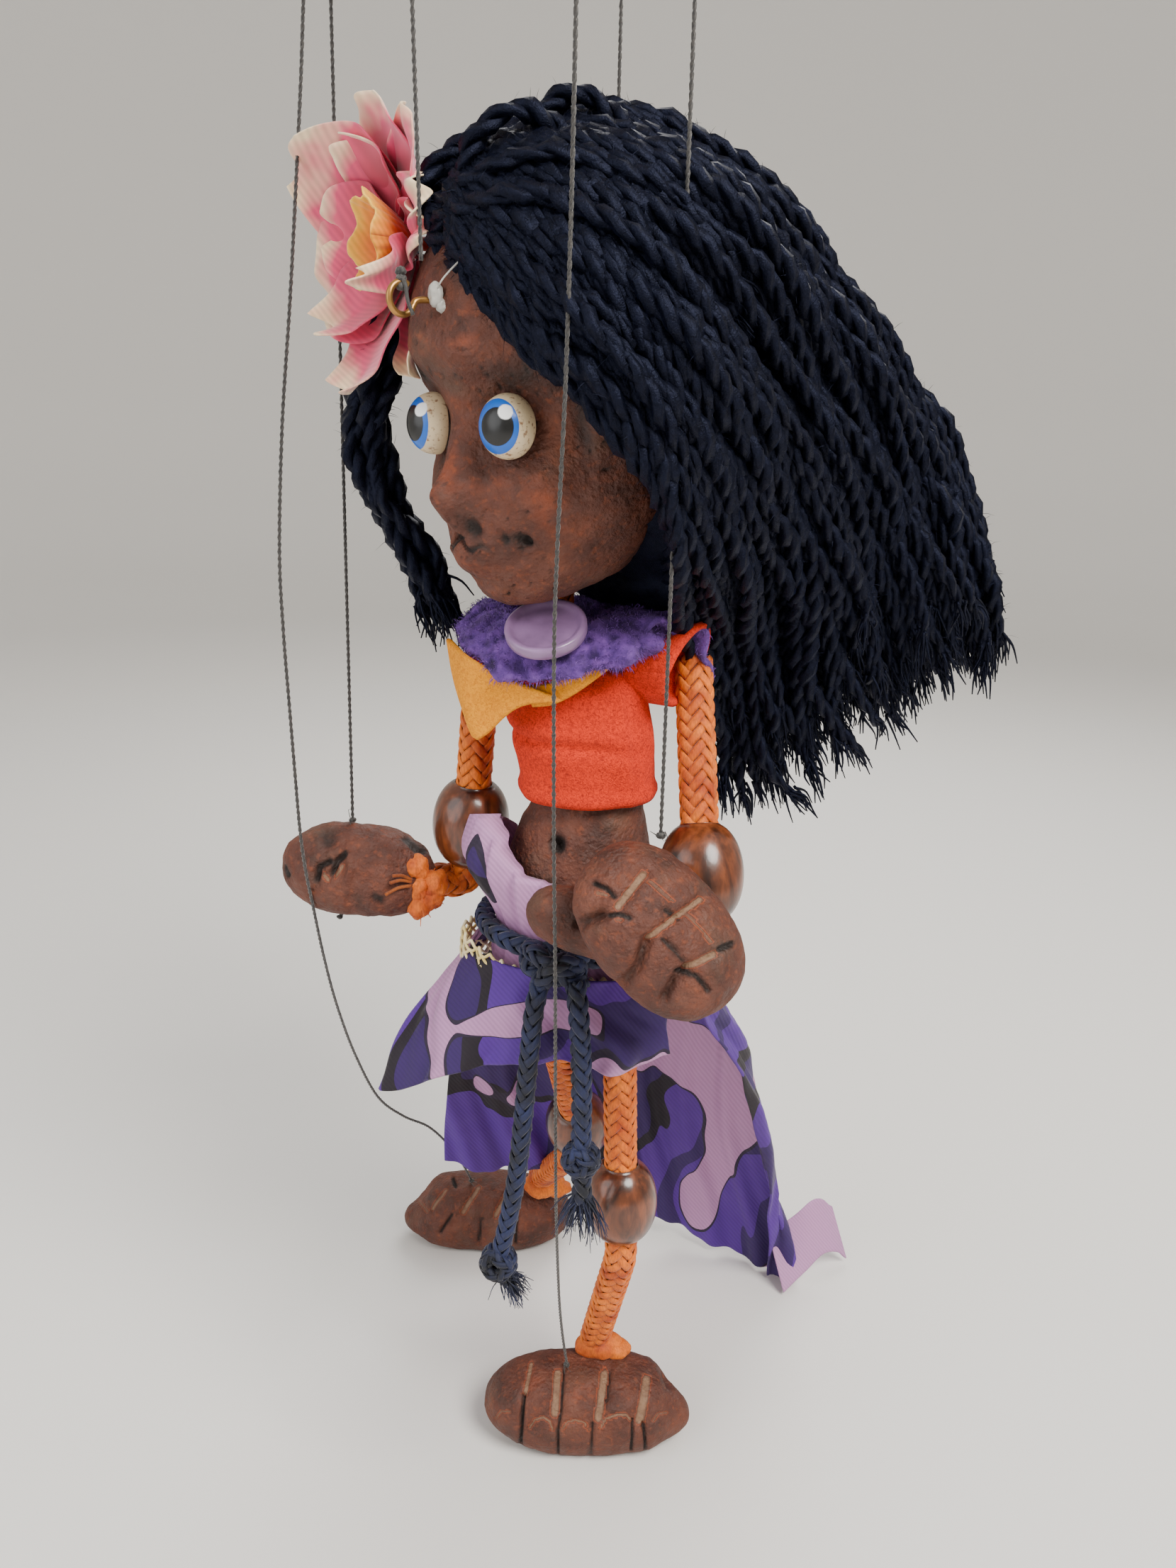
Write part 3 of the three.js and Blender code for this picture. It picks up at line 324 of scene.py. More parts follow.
class Finish:
    """A Principled material and short ways to wire nodes to it."""

    def __init__(self, name, roughness):
        self.material = bpy.data.materials.new(name)
        self.material.use_nodes = True
        self.tree = self.material.node_tree
        self.surface = self.tree.nodes["Principled BSDF"]
        self.set("Roughness", roughness)
        self.place = self.node("ShaderNodeTexCoord").outputs["Object"]

    def feed(self, socket, value):
        if isinstance(value, bpy.types.NodeSocket):
            self.tree.links.new(value, socket)
        else:
            socket.default_value = value

    def set(self, name, value):
        self.feed(self.surface.inputs[name], value)

    def dress(self, **inputs):
        """Sets several inputs of the surface, named with underscores for spaces."""
        for name, value in inputs.items():
            self.set(name.replace("_", " "), value)

    def node(self, kind, inputs=(), **settings):
        made = self.tree.nodes.new(kind)
        for key, value in settings.items():
            setattr(made, key, value)
        for key, value in dict(inputs).items():
            self.feed(made.inputs[key], value)
        return made

    def tint(self):
        return self.node("ShaderNodeAttribute", attribute_name="tint").outputs["Fac"]

    def noise(self, size, detail=3.0, stretch=(1, 1, 1), distortion=0.0):
        """Noise with lumps of about the given size in millimetres."""
        scaled = self.node("ShaderNodeVectorMath", {0: self.place, 1: stretch}, operation="MULTIPLY")
        inputs = {"Vector": scaled.outputs[0], "Scale": 1000 / size, "Detail": detail,
                  "Distortion": distortion}
        return self.node("ShaderNodeTexNoise", inputs).outputs["Fac"]

    def wave(self, size, direction, distortion=0.0):
        """Bands of about the given width in millimetres."""
        inputs = {"Vector": self.place, "Scale": 1000 / size / 6.283, "Distortion": distortion}
        return self.node("ShaderNodeTexWave", inputs, bands_direction=direction).outputs["Fac"]

    def ramp(self, value, *stops, hard=False):
        made = self.node("ShaderNodeValToRGB", {"Fac": value})
        made.color_ramp.interpolation = "CONSTANT" if hard else "LINEAR"
        elements = made.color_ramp.elements
        for _ in range(len(stops) - 2):
            elements.new(0.5)
        for element, (at, colour) in zip(elements, stops):
            element.position = at
            element.color = colour if not isinstance(colour, (int, float)) else (colour, colour, colour, 1)
        return made.outputs["Color"]

    def mix(self, share, first, second, blend="MIX"):
        inputs = {"Fac": share, "Color1": first, "Color2": second}
        return self.node("ShaderNodeMixRGB", inputs, blend_type=blend).outputs["Color"]

    def multiply(self, first, second):
        return self.mix(1.0, first, second, "MULTIPLY")

    def math(self, operation, first, second):
        return self.node("ShaderNodeMath", {0: first, 1: second}, operation=operation).outputs[0]

    def bump(self, height, depth):
        """Raises the surface by height times depth, in millimetres, and gives the finished material."""
        inputs = {"Height": height, "Distance": depth / 1000, "Strength": 1.0}
        self.set("Normal", self.node("ShaderNodeBump", inputs).outputs[0])
        return self.material


def clay_finish():
    """Terracotta clay. The tint of a mesh is its relief from 0 to 1, which paints shade into the hollows and
    a highlight onto the raised parts, and above 1 how chalky it is.
    """
    made = Finish("moulded_clay", 0.74)
    browns = (0.3, paint("#3d1e14")), (0.5, paint("#542b1d")), (0.72, paint("#683826"))
    mottled = made.ramp(made.noise(9, 5), *browns)
    rubbed = made.mix(made.ramp(made.noise(1.5, 5), (0.55, 0.0), (0.72, 0.4)), mottled, paint("#8f4a2c"))
    dusty = made.mix(made.ramp(made.noise(14, 3), (0.55, 0.0), (0.78, 0.35)), rubbed, paint("#62503f"))
    relief = made.tint()
    # Painted highlight: raised relief is painted a warmer, lighter brown.
    raised = made.ramp(relief, (0.55, 0.0), (0.9, 0.6), (0.99, 0.6), (1.0, 0.0))
    with_painted_highlight = made.mix(raised, dusty, paint("#a04a24"))
    # Painted shade: low relief, in dents, grooves and pits, is painted near black.
    with_painted_shade = made.mix(made.ramp(relief, (0.0, 0.95), (0.42, 0.0)), with_painted_highlight, paint("#150a06"))
    chalk = made.ramp(made.math("SUBTRACT", relief, 1.0), (0.12, 0.0), (0.6, 0.9))
    worn_chalk = made.multiply(chalk, made.ramp(made.noise(2.5, 3), (0.3, 0.6), (0.55, 1.0)))
    made.dress(Base_Color=made.mix(worn_chalk, with_painted_shade, paint("#86684f")),
               Roughness=made.ramp(made.noise(3, 3), (0.3, 0.58), (0.7, 0.82)))
    grain = made.math("ADD", made.noise(1.1, 4), made.math("MULTIPLY", made.noise(3.5, 2), 0.8))
    return made.bump(grain, 0.75)


def wood_finish(name, dark, light, stretch, roughness, coat):
    made = Finish(name, roughness)
    rings = made.noise(7, 4, stretch, 1.2)
    fine = made.noise(1.6, 3, stretch)
    colour = made.ramp(rings, (0.35, paint(dark)), (0.62, paint(light)))
    streaks = made.ramp(fine, (0.4, 0.55), (0.62, 1.0))
    made.dress(Base_Color=made.multiply(colour, streaks), Coat_Weight=coat, Coat_Roughness=0.12)
    return made.bump(fine, 0.06)


def yarn_finish():
    """Blue-black wool with a faint blue gloss."""
    made = Finish("black_yarn", 0.5)
    made.dress(Base_Color=made.ramp(made.noise(1.2, 3), (0.35, paint("#020204")), (0.7, paint("#0b0d18"))),
               Sheen_Weight=0.05, Sheen_Roughness=0.3, Sheen_Tint=paint("#4a5c9c"),
               Specular_IOR_Level=0.22, Specular_Tint=paint("#b8c4ff"))
    return made.bump(made.noise(0.35, 3), 0.2)


def cord_finish(name, dark, light, sheen):
    """Braided cord. The tint of a mesh is how far a strand stands out of the braid, and low tints are painted
    darker: painted shade where strands pass under others and on the core.
    """
    made = Finish(name, 0.72)
    fibre = made.noise(0.45, 2, (1, 1, 0.3))
    worn = made.noise(7, 3)
    colour = made.ramp(worn, (0.3, paint(dark)), (0.65, paint(light)))
    streaks = made.ramp(fibre, (0.3, 0.66), (0.65, 1.0))
    # Painted shade: the lower the tint, the darker the cord.
    under_strand_shade = made.ramp(made.tint(), (0.0, 0.35), (0.7, 1.0))
    made.dress(Base_Color=made.multiply(made.multiply(colour, streaks), under_strand_shade),
               Sheen_Weight=sheen, Sheen_Roughness=0.35)
    return made.bump(fibre, 0.12)


def felt_finish(name, dark, light):
    made = Finish(name, 0.95)
    matted = made.noise(0.8, 5, distortion=1.5)
    colour = made.ramp(matted, (0.3, paint(dark)), (0.6, paint(light)))
    made.dress(Base_Color=colour, Sheen_Weight=0.06, Sheen_Tint=paint(light))
    return made.bump(made.math("ADD", matted, made.noise(0.3, 3)), 0.3)


def print_finish():
    """Purple, lilac and near-black patches with dark outlines, on a fine weave. A tint above 0.5 in the
    mesh brings lilac patches, and one below 0.5 takes them away."""
    made = Finish("skirt_print", 0.75)
    big = made.noise(46, 0.6, (1, 1, 0.75), 0.35)
    other = made.noise(40, 0.5, (1.1, 1, 0.8), 0.4)
    other = made.math("ADD", other, made.math("MULTIPLY", made.math("SUBTRACT", made.tint(), 0.5), 0.8))
    purple, deep, night = paint("#4f2389"), paint("#2f1456"), paint("#140818")
    lilac, outline = paint("#b684b0"), paint("#23162f")
    base = made.ramp(big, (0.0, deep), (0.38, night), (0.43, purple), (0.57, deep), (0.64, purple), hard=True)
    rim, inside = 0.52, 0.532  # the levels of the noise between which a patch's outline runs
    patch = made.ramp(other, (0.0, 0.0), (inside, 1.0), hard=True)
    edge = made.ramp(other, (0.0, 0.0), (rim, 1.0), (inside, 0.0), hard=True)
    colour = made.mix(patch, base, lilac)
    colour = made.mix(edge, colour, outline)
    ribs = made.wave(0.42, "DIAGONAL", 0.6)
    shade = made.ramp(ribs, (0.0, 0.88), (1.0, 1.03))
    made.dress(Base_Color=made.multiply(colour, shade), Sheen_Weight=0.12, Sheen_Roughness=0.3)
    return made.bump(made.math("ADD", ribs, made.noise(0.6, 2)), 0.05)


def plain_finish(name, colour, roughness, **inputs):
    made = Finish(name, roughness)
    varied = made.noise(5, 3)
    soiled = made.mix(made.ramp(varied, (0.3, 0.0), (0.7, 0.35)), paint(colour), (0, 0, 0, 1))
    made.dress(Base_Color=soiled, **inputs)
    return made.bump(varied, 0.03)


CLAY = clay_finish()
BEAD_WOOD = wood_finish("bead_wood", "#2c120a", "#7a4022", (1, 1, 0.28), 0.28, 0.35)
BAR_WOOD = wood_finish("bar_wood", "#9a7040", "#cda36c", (0.5, 0.5, 1.6), 0.5, 0.12)
YARN = yarn_finish()
LIMB = cord_finish("orange_cord", "#b04000", "#f57e14", 0.1)
NAVY = cord_finish("navy_cord", "#050817", "#18224a", 0.12)
RED = felt_finish("red_felt", "#a01a00", "#e63200")
YELLOW = felt_finish("yellow_felt", "#d47a00", "#f5a000")
PRINT = print_finish()


# ---- strings -------------------------------------------------------------------------------------
def twist(shape, path, width, pitch, sides, phase=0.0, tint=0.5, share=0.3, flute=0.0):
    """Two plies twisted round a path. Each is share of the width in radius, with its fibres as flutes."""
    run = run_along(path)
    _, side, other = frames_along(path)
    width = np.broadcast_to(np.asarray(width, float), (len(path),))
    for ply in (0, 0.5):
        angle = phase + 2 * math.pi * (run / pitch + ply)
        offset = circle(angle, side, other) * (width * (0.5 - share))[:, None]
        shape.tube(path + offset, width * share, sides, tint, flute)


STRING_WIDTH = 1.0
STRING_ROUTES = {
    "front_head": [(-24.5, -43, 411.3), (-22.4, -43.8, 325.6)],
    "rear_head": [(-0.3, 12.4, 411.3), (-0.3, 12.4, 353)],
    "left_hand": [(26.3, -31.6, 420.4), (26.6, -32.2, 211.8)],
    "right_hand": [(-60.2, -4.6, 420.4), (-61, -8, 196.6)],
    "left_leg": [(13, -59.7, 437.5), (12.5, -57.5, 365), (10.5, -53.5, 310), (8, -50, 273),
                 (6.3, -46, 251), (6.4, -44.6, 208), (6.3, -42.4, 181), (3.4, -31.5, 130),
                 (-0.5, -18.1, 97.4), (-3.7, -4.8, 61.3), (-4.9, 2.6, 41.5), (-5, 8, 25.6)],
    "right_leg": [(-58.1, -17.8, 437.5), (-58.3, -18, 400), (-59.5, -19.5, 372), (-61.2, -21, 348),
                  (-63, -23.6, 320), (-64.8, -26.4, 294), (-65.8, -28.6, 267), (-65.2, -29.8, 249),
                  (-64.4, -30.2, 231), (-64.2, -29.6, 214), (-64.6, -28, 199), (-66, -24, 187),
                  (-67.5, -18.5, 174), (-69.2, -11.5, 157), (-70.6, -3.5, 139), (-72.4, 9, 116.4),
                  (-73.3, 24, 93.2), (-71.8, 38, 78.3), (-69, 51, 66.9), (-66.8, 62, 53.6),
                  (-66.2, 72.4, 39.5), (-66.6, 82, 25.8)],
}


def string_finish():
    made = Finish("black_thread", 0.55)
    colour = made.ramp(made.noise(0.5, 2), (0.3, paint("#0b0b0d")), (0.7, paint("#3a3632")))
    made.dress(Base_Color=colour, Sheen_Weight=0.3)
    return made.bump(made.noise(0.25, 2), 0.05)


THREAD = string_finish()


def make_string(name, route):
    length = line_length(spline(route, 200))
    path = spline(route, int(length / 0.8))
    shape = Shape()
    twist(shape, path, STRING_WIDTH, 3.2, 5)
    piece = place_piece(shape.build(f"{name}_thread", THREAD), f"{name}_string", "string", f"{name}_string")


for string_name, string_route in STRING_ROUTES.items():
    make_string(string_name, string_route)


# ---- braided cords -------------------------------------------------------------------------------
def braid(shape, path, width, carriers):
    """A round braid of carriers strands each way, every one over two and under two."""
    radius, sides = width / 2, 6
    path = spline(path, max(8, int(line_length(path) / (radius / carriers))))
    _, side, other = frames_along(path)
    thick = radius * 1.144 / carriers
    middle = radius - thick * 0.95
    turn = run_along(path) / radius  # the strands lie at 45 degrees
    crossings = carriers * turn / math.pi
    broad = 2 * math.pi * middle / carriers * 0.37471
    around = full_turn(sides)
    for sense in (1, -1):
        for strand in range(carriers):
            angle = sense * turn + 2 * math.pi * strand / carriers
            lift = sense * np.cos(math.pi / 2 * (2 * strand + sense * crossings) - math.pi / 4)
            out = circle(angle, side, other)
            centre = path + out * (middle + thick * 0.5 * lift)[:, None]
            across = np.cross(units(np.gradient(centre, axis=0)), out)
            ring = (across[:, None] * (broad * np.cos(around))[None, :, None]
                    + out[:, None] * (thick * 0.62 * np.sin(around))[None, :, None])
            # A strand's tint falls where it passes under the others, for painted shade in the cord finish.
            tint = np.repeat(0.5 + 0.5 * lift, sides)
            shape.grid(centre[:, None] + ring, (False, True), tint, caps=True)
    # The core keeps tint 0 and is painted darkest between the strands: painted shade.
    shape.tube(path, middle - thick * 0.35, 10)


LIMB_WIDTH = 9.2
LIMB_BEAD = (22.5, 20, 9.6)  # length, width and bore
PULL_BEAD = (6, 7, 1.4)
BEAD_HALF = LIMB_BEAD[0] / 2


def make_limb(side, near, bend, far, upper, lower):
    """The two cords of a limb, which meet in its bead. The lower cord bends in the joint."""
    start, pivot, end = (JOINTS[f"{side}_{joint}"] for joint in (near, bend, far))
    middle = node_middle(f"{side}_{bend}_bead")
    axis = unit(middle - start)
    upper_part, lower_part = Shape(), Shape()
    braid(upper_part, np.array([start - axis * 2, (start + middle) / 2, middle]), LIMB_WIDTH, 8)
    upper, lower = f"{side}_{upper}", f"{side}_{lower}"
    place_shape(upper_part, f"{upper}_braid", LIMB, upper, "limb_cord", f"{upper}_cord")
    onward = unit(end - pivot)
    route = spline([middle + axis * 4, middle + axis * BEAD_HALF, pivot - axis * 1.2 + onward * 0.8,
                    pivot + onward * 5.5, (pivot + end) / 2 + onward * 1.5, end + onward * 2.5], 60)
    braid(lower_part, route, LIMB_WIDTH, 8)
    low = finish_normals(lower_part.build(f"{lower}_braid", LIMB))
    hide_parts(f"{lower}_cord")
    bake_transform(low)


def turned(profile, centre, axis, count):
    """A turned surface from the radius and height at each place of its profile, along an axis."""
    side = unit(np.cross(axis, (0.3, 0.9, 0.1)))
    ring = circle(full_turn(count), side, np.cross(axis, side))
    return np.array([centre + axis * h + ring * r for r, h in profile])


def make_bead(name, body, centre, axis, sizes):
    """A barrel bead with softly rounded ends and a hole through it."""
    length, width, bore = sizes
    half = length / 2
    spread = math.radians(68)
    profile = [(width / 2 * math.cos(t) ** 0.75, half * math.sin(t) / math.sin(spread))
               for t in np.linspace(-spread, spread, 25)]
    rim = profile[-1][0]
    for t in np.linspace(0.15, 1, 6):
        profile.append((rim + (bore / 2 - rim) * t, half + 0.25 * math.sin(math.pi * t) - 0.35 * t))
    profile += [(bore / 2, half * 0.6), (bore / 2, -half * 0.6)]
    for t in np.linspace(1, 0.15, 6):
        profile.append((rim + (bore / 2 - rim) * t, -half - 0.25 * math.sin(math.pi * t) + 0.35 * t))
    shape = Shape()
    shape.grid(turned(profile, centre, axis, 48), (True, True))
    place_shape(shape, f"{name}_turned", BEAD_WOOD, body, "bead_wood", name)


LIMBS = (("shoulder", "elbow", "wrist", "upper_arm", "forearm"), ("hip", "knee", "ankle", "thigh", "shin"))
for limb_side in SIDES:
    for near, bend, far, upper, lower in LIMBS:
        make_limb(limb_side, near, bend, far, upper, lower)
        bead_name = f"{limb_side}_{bend}_bead"
        bead_at = node_middle(bead_name)
        make_bead(bead_name, f"{limb_side}_{upper}", bead_at,
                  unit(bead_at - JOINTS[f"{limb_side}_{near}"]), LIMB_BEAD)
for pull in [f"{s}_{k}_pull_bead" for s in SIDES for k in ("hand", "leg")]:
    make_bead(pull, pull.replace("pull_bead", "string"), node_middle(pull), UP, PULL_BEAD)


# ---- moulded clay --------------------------------------------------------------------------------
def bell(value, width):
    return np.exp(-((value / width) ** 2))


def cross_fade(value, start, end):
    t = np.clip((value - start) / (end - start), 0, 1)
    return t * t * (3 - 2 * t)


HEAD_AXIS = np.array((-5.0, -11.0, 0.0))
HEAD_TURN = -28  # degrees from -Y to the puppet's left
FORWARD, LEFTWARD = level(HEAD_TURN), level(HEAD_TURN + 90)
# Rings of the head: height, reach forward and back, half width.
HEAD_RINGS = [
    (257.6, 13.5, 6, 3), (259.5, 16.5, 0, 9), (264, 19.5, -14, 15), (272, 22, -21, 21), (281, 26, -26, 26),
    (295, 29, -30, 29.3), (308, 33, -32, 29.5), (318, 34.5, -32, 28), (328, 31, -31, 25),
    (338, 23, -26, 19.5), (345, 13, -17, 12), (348, 2, -8, 4),
]
EYE_LEVEL = 295.4


def in_head(forward, left, height):
    """Places given from the middle of the head: forward, to the puppet's left, above the floor."""
    return HEAD_AXIS + by(forward, FORWARD) + by(left, LEFTWARD) + by(height, UP)


# Dents and swellings of the face: how far out, how much painted light (above 0 a painted highlight, below
# 0 painted shade), then the middle and the half width to the side, and the middle and the half height.
# The second table is for one side and serves for both.
FACE_MIDDLE = [
    (7.4, 0, 0, 5.2, 281, 5.2), (3.4, 0, 0, 4.2, 289.5, 7), (0, 0.4, 0, 4, 285, 7),
    (6.4, 0, 0, 13, 270.5, 8.5), (1.9, 0, 0, 4.8, 267, 2.2), (0, 0.45, 0, 4.6, 267, 2.2),
    (-1.3, 0, 0, 6.5, 263.2, 1.3), (1.6, 0, 0, 6, 259.6, 2.4),
]
FACE_SIDES = [
    (-5.0, 0, 12.5, 9.5, 297, 9.5), (0, -0.85, 14, 7, 305.5, 3.6), (0, -0.5, 12.5, 8, 287.8, 1.6),
    (2.2, 0, 16, 8, 282, 6), (0, 0.45, 18, 4, 284, 9), (-1.9, 0, 22.5, 2.2, 296, 13),
    (0, -0.75, 22.8, 1.6, 297, 11), (0, -0.6, 27, 2.4, 300, 8), (-2.2, 0, 4.2, 1.5, 275.4, 2.2),
    (0, -1.6, 4.0, 1.2, 275.2, 1.9), (-3.4, -2.2, 11.6, 1.2, 272.8, 1.3),
    (-1.2, -1.6, 9.2, 0.45, 273.2, 1.2), (1.3, 0, 3, 2.6, 270.4, 1.6),
]


def face_relief(left, height):
    """How far the face stands out at each place, and its painted light from -1 to 1: a painted highlight on
    the brow and the swellings, painted shade in the dents, the nostrils and the mouth.
    """
    out = 3.0 * bell(left, 16) * bell(height - 309, 4.5) * (1 - 0.4 * bell(left, 4))
    tint = 0.35 * bell(height - 311, 3) * bell(np.abs(left) - 9, 8)
    for across, rows in ((left, FACE_MIDDLE), (left, FACE_SIDES), (-left, FACE_SIDES)):
        for raised, painted_light, middle, wide, level_at, high in rows:
            spot = bell(across - middle, wide) * bell(height - level_at, high)
            out += raised * spot
            tint += painted_light * spot
    mouth = bell(left, 5.4) * bell(height - 271.6 - 1.1 * np.cos(left * 1.15) + 0.04 * left**2, 0.8)
    return out - 1.9 * mouth, tint - 1.7 * mouth


def head_rings(rings, turn):
    """Forward, left and height of the places on rings that are given like HEAD_RINGS."""
    high, ahead, back, half = (rings[:, k : k + 1] for k in range(4))
    return (ahead + back) / 2 + (ahead - back) / 2 * np.cos(turn), half * np.sin(turn), high + 0 * turn


def make_head():
    rows, columns = 230, 300
    rings = spline(HEAD_RINGS, rows)
    angle = full_turn(columns)
    forward, left, height = head_rings(rings, angle)
    front = cross_fade(np.cos(angle), 0.05, 0.5)[None, :] * np.ones_like(left)
    out, tint = face_relief(left, height)
    forward = forward + out * front
    points = in_head(forward, left, height).reshape(-1, 3)
    centre = np.array((HEAD_AXIS[0], HEAD_AXIS[1], 302))
    outward = (points - centre) / np.linalg.norm(points - centre, axis=1)[:, None]
    lumps = fractal(points, 16, 3, 3.1) * 0.55 + fractal(points, 3.2, 3, 8.2) * 0.22
    pits = np.clip(fractal(points, 1.7, 2, 5.5) - 0.5, 0, 1) * -1.8
    points = points + outward * (lumps + pits)[:, None]
    # Painted highlight and shade of the face, a random tone, and painted shade in the pits.
    shade = 0.5 + 0.5 * (tint * front).ravel() + 0.16 * fractal(points, 5, 3, 1.1) + pits * 0.7
    shade = np.clip(shade, 0, 0.98)
    shape = Shape()
    shape.grid(points.reshape(rows, columns, 3), (False, True), tint=shade, caps=True)
    place_shape(shape, "moulded_head", CLAY, "head", "clay", "head")


EYE_GAZE = {"left_eye": (-16, -6, 14), "right_eye": (-46, -36, -7)}  # iris, pupil and glint, level degrees


def make_eye(name, side):
    """A half ball with the iris, pupil and glint painted on it, all looking to the puppet's right."""
    turn = level(HEAD_TURN + side * 17)
    across = np.cross(UP, turn)
    rows, columns = 60, 120
    sweep = np.linspace(0, math.pi / 2 * 1.12, rows)[:, None]
    around = full_turn(columns)[None, :]
    centre = in_head(24.2, side * 11.6, EYE_LEVEL) + turn * 1.2
    grid = (centre + by(5.8 * np.cos(sweep) + 0 * around, turn)
            + by(5.9 * np.sin(sweep) * np.cos(around), across) + by(6.4 * np.sin(sweep) * np.sin(around), UP))
    shape = Shape()
    shape.grid(grid, (False, True), caps=True)
    iris, pupil, glint = EYE_GAZE[name]
    finish = eye_finish(name, centre, level(iris), level(pupil), level(glint) + UP * 0.55)
    place_shape(shape, f"painted_{name}", finish, "head", "eye_paint", name)


def eye_finish(name, centre, iris, pupil, glint):
    made = Finish(f"{name}_paint", 0.36)
    kind = "ShaderNodeVectorMath"
    offset = made.node(kind, {0: made.place, 1: tuple(to_row(centre))}, operation="SUBTRACT")
    ray = made.node(kind, {0: offset.outputs[0]}, operation="NORMALIZE").outputs[0]

    def disc(direction, size):
        """1 within the given angle of a direction from the middle of the eye, with an uneven edge."""
        facing = made.node(kind, {0: ray, 1: tuple(unit(direction))}, operation="DOT_PRODUCT")
        wobble = made.math("ADD", facing.outputs["Value"], made.math("MULTIPLY", made.noise(2, 2), 0.02))
        limit = math.cos(math.radians(size)) + 0.01
        return made.ramp(wobble, (limit - 0.012, 0.0), (limit, 1.0))

    flecks = made.ramp(made.noise(0.9, 4), (0.55, 0.0), (0.68, 0.8))
    colour = made.mix(flecks, paint("#dcc7a2"), paint("#7a4526"))
    colour = made.mix(disc(iris, 58), colour, paint("#0a62c8"))
    colour = made.mix(disc(pupil, 37), colour, paint("#050607"))
    colour = made.mix(disc(glint, 13), colour, (1, 1, 1, 1))
    made.dress(Base_Color=colour, Coat_Weight=0.12)
    return made.bump(made.noise(1.2, 3), 0.05)


make_head()
make_eye("left_eye", 1)
make_eye("right_eye", -1)


# ---- hands, feet and body ------------------------------------------------------------------------
EYE_PLACE = UP * EYE_HEIGHT - BEHIND * STANDOFF


def grid_normals(grid):
    """The direction in which a grid that is closed round its rows faces at each of its points."""
    wrapped = np.concatenate((grid[:, -1:], grid, grid[:, :1]), axis=1)
    normal = np.cross(np.gradient(wrapped, axis=0), np.gradient(wrapped, axis=1))[:, 1:-1]
    normal /= np.linalg.norm(normal, axis=2, keepdims=True) + 1e-9
    inside = grid.reshape(-1, 3).mean(axis=0)
    return normal if (normal * (grid - inside)).sum() > 0 else -normal


def near_line(x, y, line, width):
    """1 on a bent line in the plane, falling to 0 a little beyond the given distance from it."""
    nearest = np.full(np.shape(x), np.inf)
    for (x0, y0), (x1, y1) in zip(line, line[1:]):
        share = ((x - x0) * (x1 - x0) + (y - y0) * (y1 - y0)) / ((x1 - x0) ** 2 + (y1 - y0) ** 2)
        share = np.clip(share, 0, 1)
        nearest = np.minimum(nearest, np.hypot(x - x0 - share * (x1 - x0), y - y0 - share * (y1 - y0)))
    return np.exp(-((nearest / width) ** 2))


def swollen(grid, amount):
    """A closed surface moved out along its own normals by an amount for each place."""
    return grid + grid_normals(grid) * amount[..., None]


def press_marks(grid, centre, marks, seed, lumps):
    """Moves a clay surface in under its marks. A mark is a line seen from the camera, in millimetres to
    the right of and below the centre, with its width, its depth, and how chalky it is, or, below 0, how
    much painted shade darkens it."""
    normal = grid_normals(grid)
    view = unit(centre - EYE_PLACE)
    down = np.cross(view, ACROSS)
    x, y = (grid - centre) @ ACROSS, (grid - centre) @ down
    facing = cross_fade(-(normal @ view), -0.1, 0.25)
    sunk = -lumps * fractal(grid, 11, 3, seed) - 0.22 * lumps * fractal(grid, 2.6, 3, seed + 4)
    # dark holds a random tone, to which the marks below 0 add painted shade along their grooves.
    dark = 0.16 * fractal(grid, 4, 3, seed + 9)
    chalk = np.zeros(x.shape)
    for line, width, depth, chalk_and_shade in marks:
        mark = near_line(x, y, line, width) * facing
        sunk += depth * mark
        if chalk_and_shade > 0:
            thin = near_line(x, y, line, width * 0.5) * facing
            chalk = np.maximum(chalk, thin * chalk_and_shade)
        else:
            dark += chalk_and_shade * mark
    # Chalk gives a tint above 1; otherwise the tint holds the random tone and the painted shade.
    tint = np.where(chalk > 0.12, 1 + chalk, np.clip(0.5 + dark, 0, 0.98))
    return grid - normal * sunk[..., None], tint


def ball_grid(rows, columns):
    """Places on a unit ball with its poles on the first axis."""
    lean = np.linspace(0.03, math.pi - 0.03, rows)[:, None]
    turn = full_turn(columns)[None, :]
    return np.cos(lean) + 0 * turn, np.sin(lean) * np.cos(turn), np.sin(lean) * np.sin(turn)


def rounded(value, power):
    return np.sign(value) * np.abs(value) ** power


def foot_grid(centre, narrow):
    """A loaf with a flat sole, lower and narrower at the end of the little toe."""
    long, forth, high = ball_grid(210, 150)
    taper = 1 - 0.3 * cross_fade(long * narrow, 0.5, 0.92)
    middle, top = 11.0, 24.5
    height = np.where(high > 0, middle * taper + (top - middle) * taper * high,
                      np.maximum(0, middle * taper * (1 + 1.25 * high)))
    return np.array(centre) + seen(31 * rounded(long, 0.8), -14.5 * taper * rounded(forth, 0.8), height)


